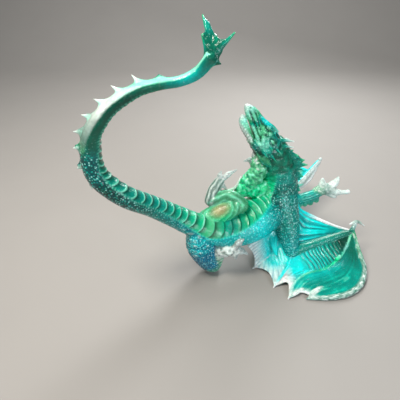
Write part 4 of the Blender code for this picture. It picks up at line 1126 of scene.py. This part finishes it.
def casting_resin():
    """Clear polyester casting resin, dyed in the mould while liquid and left glossy.

    To the eye it is a glassy skin over a cloudy glow: light runs through the thin edges, the dyes
    drift into each other, and every scale carries its own small highlight."""
    material = bpy.data.materials.new("dyed clear casting resin")
    material.use_nodes = True
    tree = material.node_tree
    tree.nodes.clear()
    place = node(tree, "TexCoord", (0, 2)).outputs["Object"]
    # The dye attribute carries each form's dyes with its painted shade and highlights.
    dyes = node(tree, "Attribute", (0, 0), attribute_name="dye")
    # Dye clouds about 9 mm across: one unit of a noise of scale 110 is 9 mm.
    cloud = node(tree, "TexNoise", (1, 1), [("Vector", place)], Scale=110.0, Detail=3.0,
                 Roughness=0.6, Distortion=0.8)
    drift = node(tree, "MapRange", (2, 1), [("Value", cloud.outputs["Fac"])],
                 From_Min=0.3, From_Max=0.7, To_Min=0.8, To_Max=1.12)
    tinted = node(tree, "HueSaturation", (3, 0),
                  [("Color", dyes.outputs["Color"]), ("Value", drift.outputs["Result"])], Saturation=1.2)
    # Scales 2.2 mm across, as small as they can show, where a zone asks for them: one unit of a
    # pattern of scale 450 is 2.2 mm.  Their hollows carry painted shade and some of their tops a
    # painted highlight of pale cyan.
    cells = node(tree, "TexVoronoi", (1, 3), [("Vector", place)], Scale=450.0)
    far, strength = cells.outputs["Distance"], dyes.outputs["Alpha"]
    hollow_shade = node(tree, "MapRange", (2, 2), [("Value", far), ("To Max", strength)],
                  From_Min=0.30, From_Max=0.52)
    chosen = node(tree, "SeparateColor", (2, 5), [("Color", cells.outputs["Color"])])
    lucky = node(tree, "MapRange", (3, 5),
                 [("Value", chosen.outputs["Red"]), ("To Max", strength)], From_Min=0.40, From_Max=0.66)
    tops = node(tree, "MapRange", (3, 6), [("Value", far)], From_Min=0.38, From_Max=0.20)
    painted_glint = node(tree, "Math", (4, 5),
                 [(0, lucky.outputs["Result"]), (1, tops.outputs["Result"])], operation="MULTIPLY")
    # Painted shade: the base colour is multiplied towards a dark blue-green in the scales' hollows.
    shaded = node(tree, "Mix", (4, 1),
                  [(0, hollow_shade.outputs["Result"]), (6, tinted.outputs["Color"])],
                  data_type="RGBA", blend_type="MULTIPLY")
    shaded.inputs[7].default_value = (*linear("#3f8494"), 1)
    # Painted highlight: chosen scale tops are mixed towards pale cyan.
    painted_highlights = node(tree, "Mix", (5, 1), [(0, painted_glint.outputs[0]), (6, shaded.outputs[2])],
                    data_type="RGBA")
    painted_highlights.inputs[7].default_value = (*linear("#b4f0ea"), 1)
    # Rubbed marks and flow marks about 3 mm across: one unit of a noise of scale 330.
    wear = node(tree, "TexNoise", (1, 4), [("Vector", place)], Scale=330.0, Detail=2.5,
                Distortion=1.2)
    relief = node(tree, "Math", (2, 3), [(0, far), (1, strength)], operation="MULTIPLY")
    scaled = node(tree, "Bump", (3, 3), [("Height", relief.outputs[0])], invert=True,
                  Strength=0.6, Distance=0.0009)
    worn = node(tree, "Bump", (4, 3),
                [("Height", wear.outputs["Fac"]), ("Normal", scaled.outputs["Normal"])],
                Strength=0.5, Distance=0.0012)
    dull = node(tree, "MapRange", (2, 4), [("Value", wear.outputs["Fac"])],
                To_Min=0.08, To_Max=0.20)
    # The specular level is a little under full gloss, as on resin that hands have rubbed.  Light
    # wanders a few millimetres through the cloudy resin, green and blue further than red.
    shader = node(tree, "BsdfPrincipled", (6, 1),
                  [("Base Color", painted_highlights.outputs[2]), ("Roughness", dull.outputs["Result"]),
                   ("Normal", worn.outputs["Normal"])],
                  IOR=1.52, Specular_IOR_Level=0.38, Transmission_Weight=0.15, Subsurface_Weight=0.25,
                  Subsurface_Scale=0.005, Subsurface_Radius=(0.5, 1.0, 0.9))
    node(tree, "OutputMaterial", (8, 1), [("Surface", shader.outputs["BSDF"])])
    return material


def modified(source, kind, **settings):
    """The mesh of an object after one modifier."""
    modifier = source.modifiers.new(kind.lower(), kind)
    for key, value in settings.items():
        setattr(modifier, key, value)
    seen = source.evaluated_get(bpy.context.evaluated_depsgraph_get())
    mesh = bpy.data.meshes.new_from_object(seen)
    source.modifiers.clear()
    return mesh


def read(items, field, width):
    """A field of all the points or values of a mesh, one row each."""
    values = np.empty(len(items) * width, np.float32)
    items.foreach_get(field, values)
    return values.reshape(-1, width)


def merged_clay():
    """All the forms in one object, and their points with their dyes."""
    points, faces, dyes, start = [], [], [], 0
    for form in clay().objects:
        mesh = form.data
        points.append(read(mesh.vertices, "co", 3))
        dyes.append(read(mesh.attributes["dye"].data, "color", 4))
        faces += [tuple(v + start for v in face.vertices) for face in mesh.polygons]
        start += len(mesh.vertices)
    points, dyes = np.vstack(points), np.vstack(dyes)
    merged = bpy.data.meshes.new("merged clay")
    merged.from_pydata(points.tolist(), [], faces)
    work = bpy.data.objects.new("merged clay", merged)
    clay().objects.link(work)
    return work, points, dyes


DYE_SOURCES = 3     # nearest points of the clay that give a point of the casting its dye
LEAST_GAP = 1e-4    # metres, added to their distances, so that none takes all


def carry_dyes(mesh, spots, points, dyes):
    """Dyes the mesh, painted shade and highlights included, as the clay near each of its points is dyed."""
    tree = kdtree.KDTree(len(points))
    for k, point in enumerate(points.tolist()):
        tree.insert(point, k)
    tree.balance()
    shades = np.empty((len(spots), 4), np.float32)
    for k, spot in enumerate(spots.tolist()):
        found = tree.find_n(spot, DYE_SOURCES)
        near = np.array([1 / (hit[2] + LEAST_GAP) for hit in found])
        shades[k] = (dyes[[hit[1] for hit in found]] * near[:, None]).sum(0) / near.sum()
    attribute = mesh.attributes.new("dye", "FLOAT_COLOR", "POINT")
    attribute.data.foreach_set("color", shades.ravel())


def cast():
    """Fuses the forms on a fine grid into one closed casting, kept inside the box of the solid."""
    work, points, dyes = merged_clay()
    work.data = modified(work, "REMESH", mode="VOXEL", voxel_size=sizes()["grid"] * MM, adaptivity=0.0)
    work.data = modified(work, "SMOOTH", factor=0.5, iterations=1)
    triangles = sum(len(face.vertices) - 2 for face in work.data.polygons)
    work.data = modified(work, "TRIANGULATE")
    limit = bpy.context.scene.dragon_sizes.facets
    mesh = modified(work, "DECIMATE", ratio=min(1.0, limit / triangles))
    spots = np.clip(read(mesh.vertices, "co", 3), *(np.array(corner) for corner in SOLID_BOX))
    mesh.vertices.foreach_set("co", spots.ravel())
    carry_dyes(mesh, spots, points, dyes)
    mesh.shade_smooth()
    for form in list(clay().objects):
        bpy.data.objects.remove(form)
    bpy.data.collections.remove(clay())
    mesh.name = "dragon_casting"
    mesh.materials.clear()
    mesh.materials.append(casting_resin())
    casting = bpy.data.objects.new("dragon_casting", mesh)
    bpy.context.scene.collection.objects.link(casting)
    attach(casting, "root")
    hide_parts("dragon")


def matt_paint(name, hex_colour):
    """Matt emulsion on board: even and soft, with a faint roller mottle."""
    material = bpy.data.materials.new(name)
    material.use_nodes = True
    tree = material.node_tree
    tree.nodes.clear()
    place = node(tree, "TexCoord", (0, 0)).outputs["Object"]
    # The mottle is drawn about 110 mm across: a roller's nap is too fine to show from here.
    mottle = node(tree, "TexNoise", (1, 0), [("Vector", place)], Scale=9.0, Detail=2.0)
    value = node(tree, "MapRange", (2, 0), [("Value", mottle.outputs["Fac"])],
                 To_Min=0.97, To_Max=1.03)
    shade = node(tree, "HueSaturation", (3, 0), [("Value", value.outputs["Result"])],
                 Color=(*linear(hex_colour), 1))
    shader = node(tree, "BsdfPrincipled", (4, 0), [("Base Color", shade.outputs["Color"])],
                  Roughness=0.75)
    node(tree, "OutputMaterial", (6, 0), [("Surface", shader.outputs["BSDF"])])
    return material


def soft_light(name, place, aim, side, watts, hex_colour):
    """A square soft light at a place, turned to what it lights."""
    lamp = bpy.data.lights.new(name, "AREA")
    lamp.shape = "SQUARE"
    lamp.size = side
    lamp.energy = watts
    lamp.color = linear(hex_colour)
    holder = bpy.data.objects.new(name, lamp)
    bpy.context.scene.collection.objects.link(holder)
    holder.location = place
    aim_way = np.subtract(aim, place)
    yaw = math.atan2(aim_way[1], aim_way[0]) - math.pi / 2
    pitch = math.atan2(aim_way[2], math.hypot(aim_way[0], aim_way[1]))
    holder.rotation_euler = (math.pi / 2 + pitch, 0, yaw)


def set_stage():
    """A pale floor that curves up into a backdrop, soft lights and the camera."""
    near, far, bend, top, half_width = -1.2, 0.9, 0.5, 2.0, 6.0
    rows = [(near, 0.0), (far, 0.0)]
    rows += [(far + bend * math.sin(a), bend - bend * math.cos(a))
             for a in np.linspace(0.1, math.pi / 2, 12)]
    rows.append((far + bend, top))
    points = [(x, y, z) for y, z in rows for x in (-half_width, half_width)]
    faces = [(2 * k, 2 * k + 1, 2 * k + 3, 2 * k + 2) for k in range(len(rows) - 1)]
    mesh = bpy.data.meshes.new("floor")
    mesh.from_pydata(points, [], faces)
    mesh.shade_smooth()
    floor = bpy.data.objects.new("floor", mesh)
    bpy.context.scene.collection.objects.link(floor)
    mesh.materials.append(matt_paint("pale matt emulsion", "#93908c"))
    soft_light("key", (-0.35, -0.25, 0.85), (0, 0, 0.1), 0.26, 9.0, "#fff8ee")
    soft_light("fill", (0.45, -0.85, 0.38), (0, 0, 0.08), 0.35, 4.8, "#eef5ff")
    soft_light("rim", (0.25, 0.65, 0.65), (0, 0, 0.1), 0.30, 6.6, "#ffffff")
    soft_light("backdrop", (0.0, 1.0, 1.7), (0, 1.4, 0.3), 1.0, 16.0, "#ffffff")
    world = bpy.data.worlds.new("studio")
    world.use_nodes = True
    air = world.node_tree.nodes["Background"]
    air.inputs["Color"].default_value = (*linear("#e9edf0"), 1)
    air.inputs["Strength"].default_value = 0.24
    bpy.context.scene.world = world
    bpy.context.scene.view_settings.view_transform = "Standard"
    lens = bpy.data.cameras.new("camera")
    lens.sensor_width = FILM
    lens.lens = LENS
    camera = bpy.data.objects.new("camera", lens)
    bpy.context.scene.collection.objects.link(camera)
    camera.location = tuple((CAMERA_PLACE - FOOTPRINT_MIDDLE) * MM)
    camera.rotation_euler = (math.pi / 2 - CAMERA_TILT, 0, 0)
    bpy.context.scene.camera = camera


class DRAGON_OT_body(bpy.types.Operator):
    """Model the tail, trunk and neck"""
    bl_idname = "dragon.body"
    bl_label = "Body"
    bl_options = {"REGISTER", "UNDO"}

    def execute(self, context):
        model_body()
        return {"FINISHED"}


class DRAGON_OT_head(bpy.types.Operator):
    """Model the head with its open jaws"""
    bl_idname = "dragon.head"
    bl_label = "Head"
    bl_options = {"REGISTER", "UNDO"}

    def execute(self, context):
        model_head()
        return {"FINISHED"}


class DRAGON_OT_thorns(bpy.types.Operator):
    """Model the neck crest and the back thorns"""
    bl_idname = "dragon.thorns"
    bl_label = "Thorns"
    bl_options = {"REGISTER", "UNDO"}

    def execute(self, context):
        model_thorns()
        return {"FINISHED"}


class DRAGON_OT_tail_fin(bpy.types.Operator):
    """Model the barbed tail fin"""
    bl_idname = "dragon.tail_fin"
    bl_label = "Tail Fin"
    bl_options = {"REGISTER", "UNDO"}

    def execute(self, context):
        model_tail_fin()
        return {"FINISHED"}


class DRAGON_OT_left_wing(bpy.types.Operator):
    """Model the left wing"""
    bl_idname = "dragon.left_wing"
    bl_label = "Left Wing"
    bl_options = {"REGISTER", "UNDO"}

    def execute(self, context):
        model_left_wing()
        return {"FINISHED"}


class DRAGON_OT_right_wing(bpy.types.Operator):
    """Model the right wing"""
    bl_idname = "dragon.right_wing"
    bl_label = "Right Wing"
    bl_options = {"REGISTER", "UNDO"}

    def execute(self, context):
        model_right_wing()
        return {"FINISHED"}


class DRAGON_OT_legs(bpy.types.Operator):
    """Model the four legs with their claws"""
    bl_idname = "dragon.legs"
    bl_label = "Legs"
    bl_options = {"REGISTER", "UNDO"}

    def execute(self, context):
        model_legs()
        return {"FINISHED"}


class DRAGON_OT_cast(bpy.types.Operator):
    """Cast all the forms as one piece of resin"""
    bl_idname = "dragon.cast"
    bl_label = "Cast in Resin"
    bl_options = {"REGISTER", "UNDO"}

    def execute(self, context):
        cast()
        return {"FINISHED"}


class DRAGON_OT_stage(bpy.types.Operator):
    """Set the floor, lights and camera"""
    bl_idname = "dragon.stage"
    bl_label = "Stage"
    bl_options = {"REGISTER", "UNDO"}

    def execute(self, context):
        set_stage()
        return {"FINISHED"}


OPERATORS = (DRAGON_OT_body, DRAGON_OT_head, DRAGON_OT_thorns, DRAGON_OT_tail_fin, DRAGON_OT_left_wing,
             DRAGON_OT_right_wing, DRAGON_OT_legs, DRAGON_OT_cast, DRAGON_OT_stage)


class DRAGON_PT_statue(bpy.types.Panel):
    """Sizes, dyes and steps of the dragon statue"""
    bl_idname = "DRAGON_PT_statue"
    bl_label = "Dragon Statue"
    bl_space_type = "VIEW_3D"
    bl_region_type = "UI"
    bl_category = "Dragon"

    def draw(self, context):
        layout = self.layout
        for group in (context.scene.dragon_sizes, context.scene.dragon_colours):
            box = layout.box()
            for key in group.__annotations__:
                box.prop(group, key)
        for step in OPERATORS:
            layout.operator(step.bl_idname)


CLASSES = (DragonSizes, DragonColours, *OPERATORS, DRAGON_PT_statue)


def register():
    """Registers the classes and the statue's sizes and dyes."""
    for item in CLASSES:
        bpy.utils.register_class(item)
    bpy.types.Scene.dragon_sizes = PointerProperty(type=DragonSizes)
    bpy.types.Scene.dragon_colours = PointerProperty(type=DragonColours)


def unregister():
    """Takes the sizes, dyes and classes away again."""
    del bpy.types.Scene.dragon_colours
    del bpy.types.Scene.dragon_sizes
    for item in reversed(CLASSES):
        bpy.utils.unregister_class(item)


def main():
    """Makes the whole statue with its stage."""
    register()
    bpy.ops.dragon.body()
    bpy.ops.dragon.head()
    bpy.ops.dragon.thorns()
    bpy.ops.dragon.tail_fin()
    bpy.ops.dragon.left_wing()
    bpy.ops.dragon.right_wing()
    bpy.ops.dragon.legs()
    bpy.ops.dragon.cast()
    bpy.ops.dragon.stage()


if __name__ == "__main__":
    main()
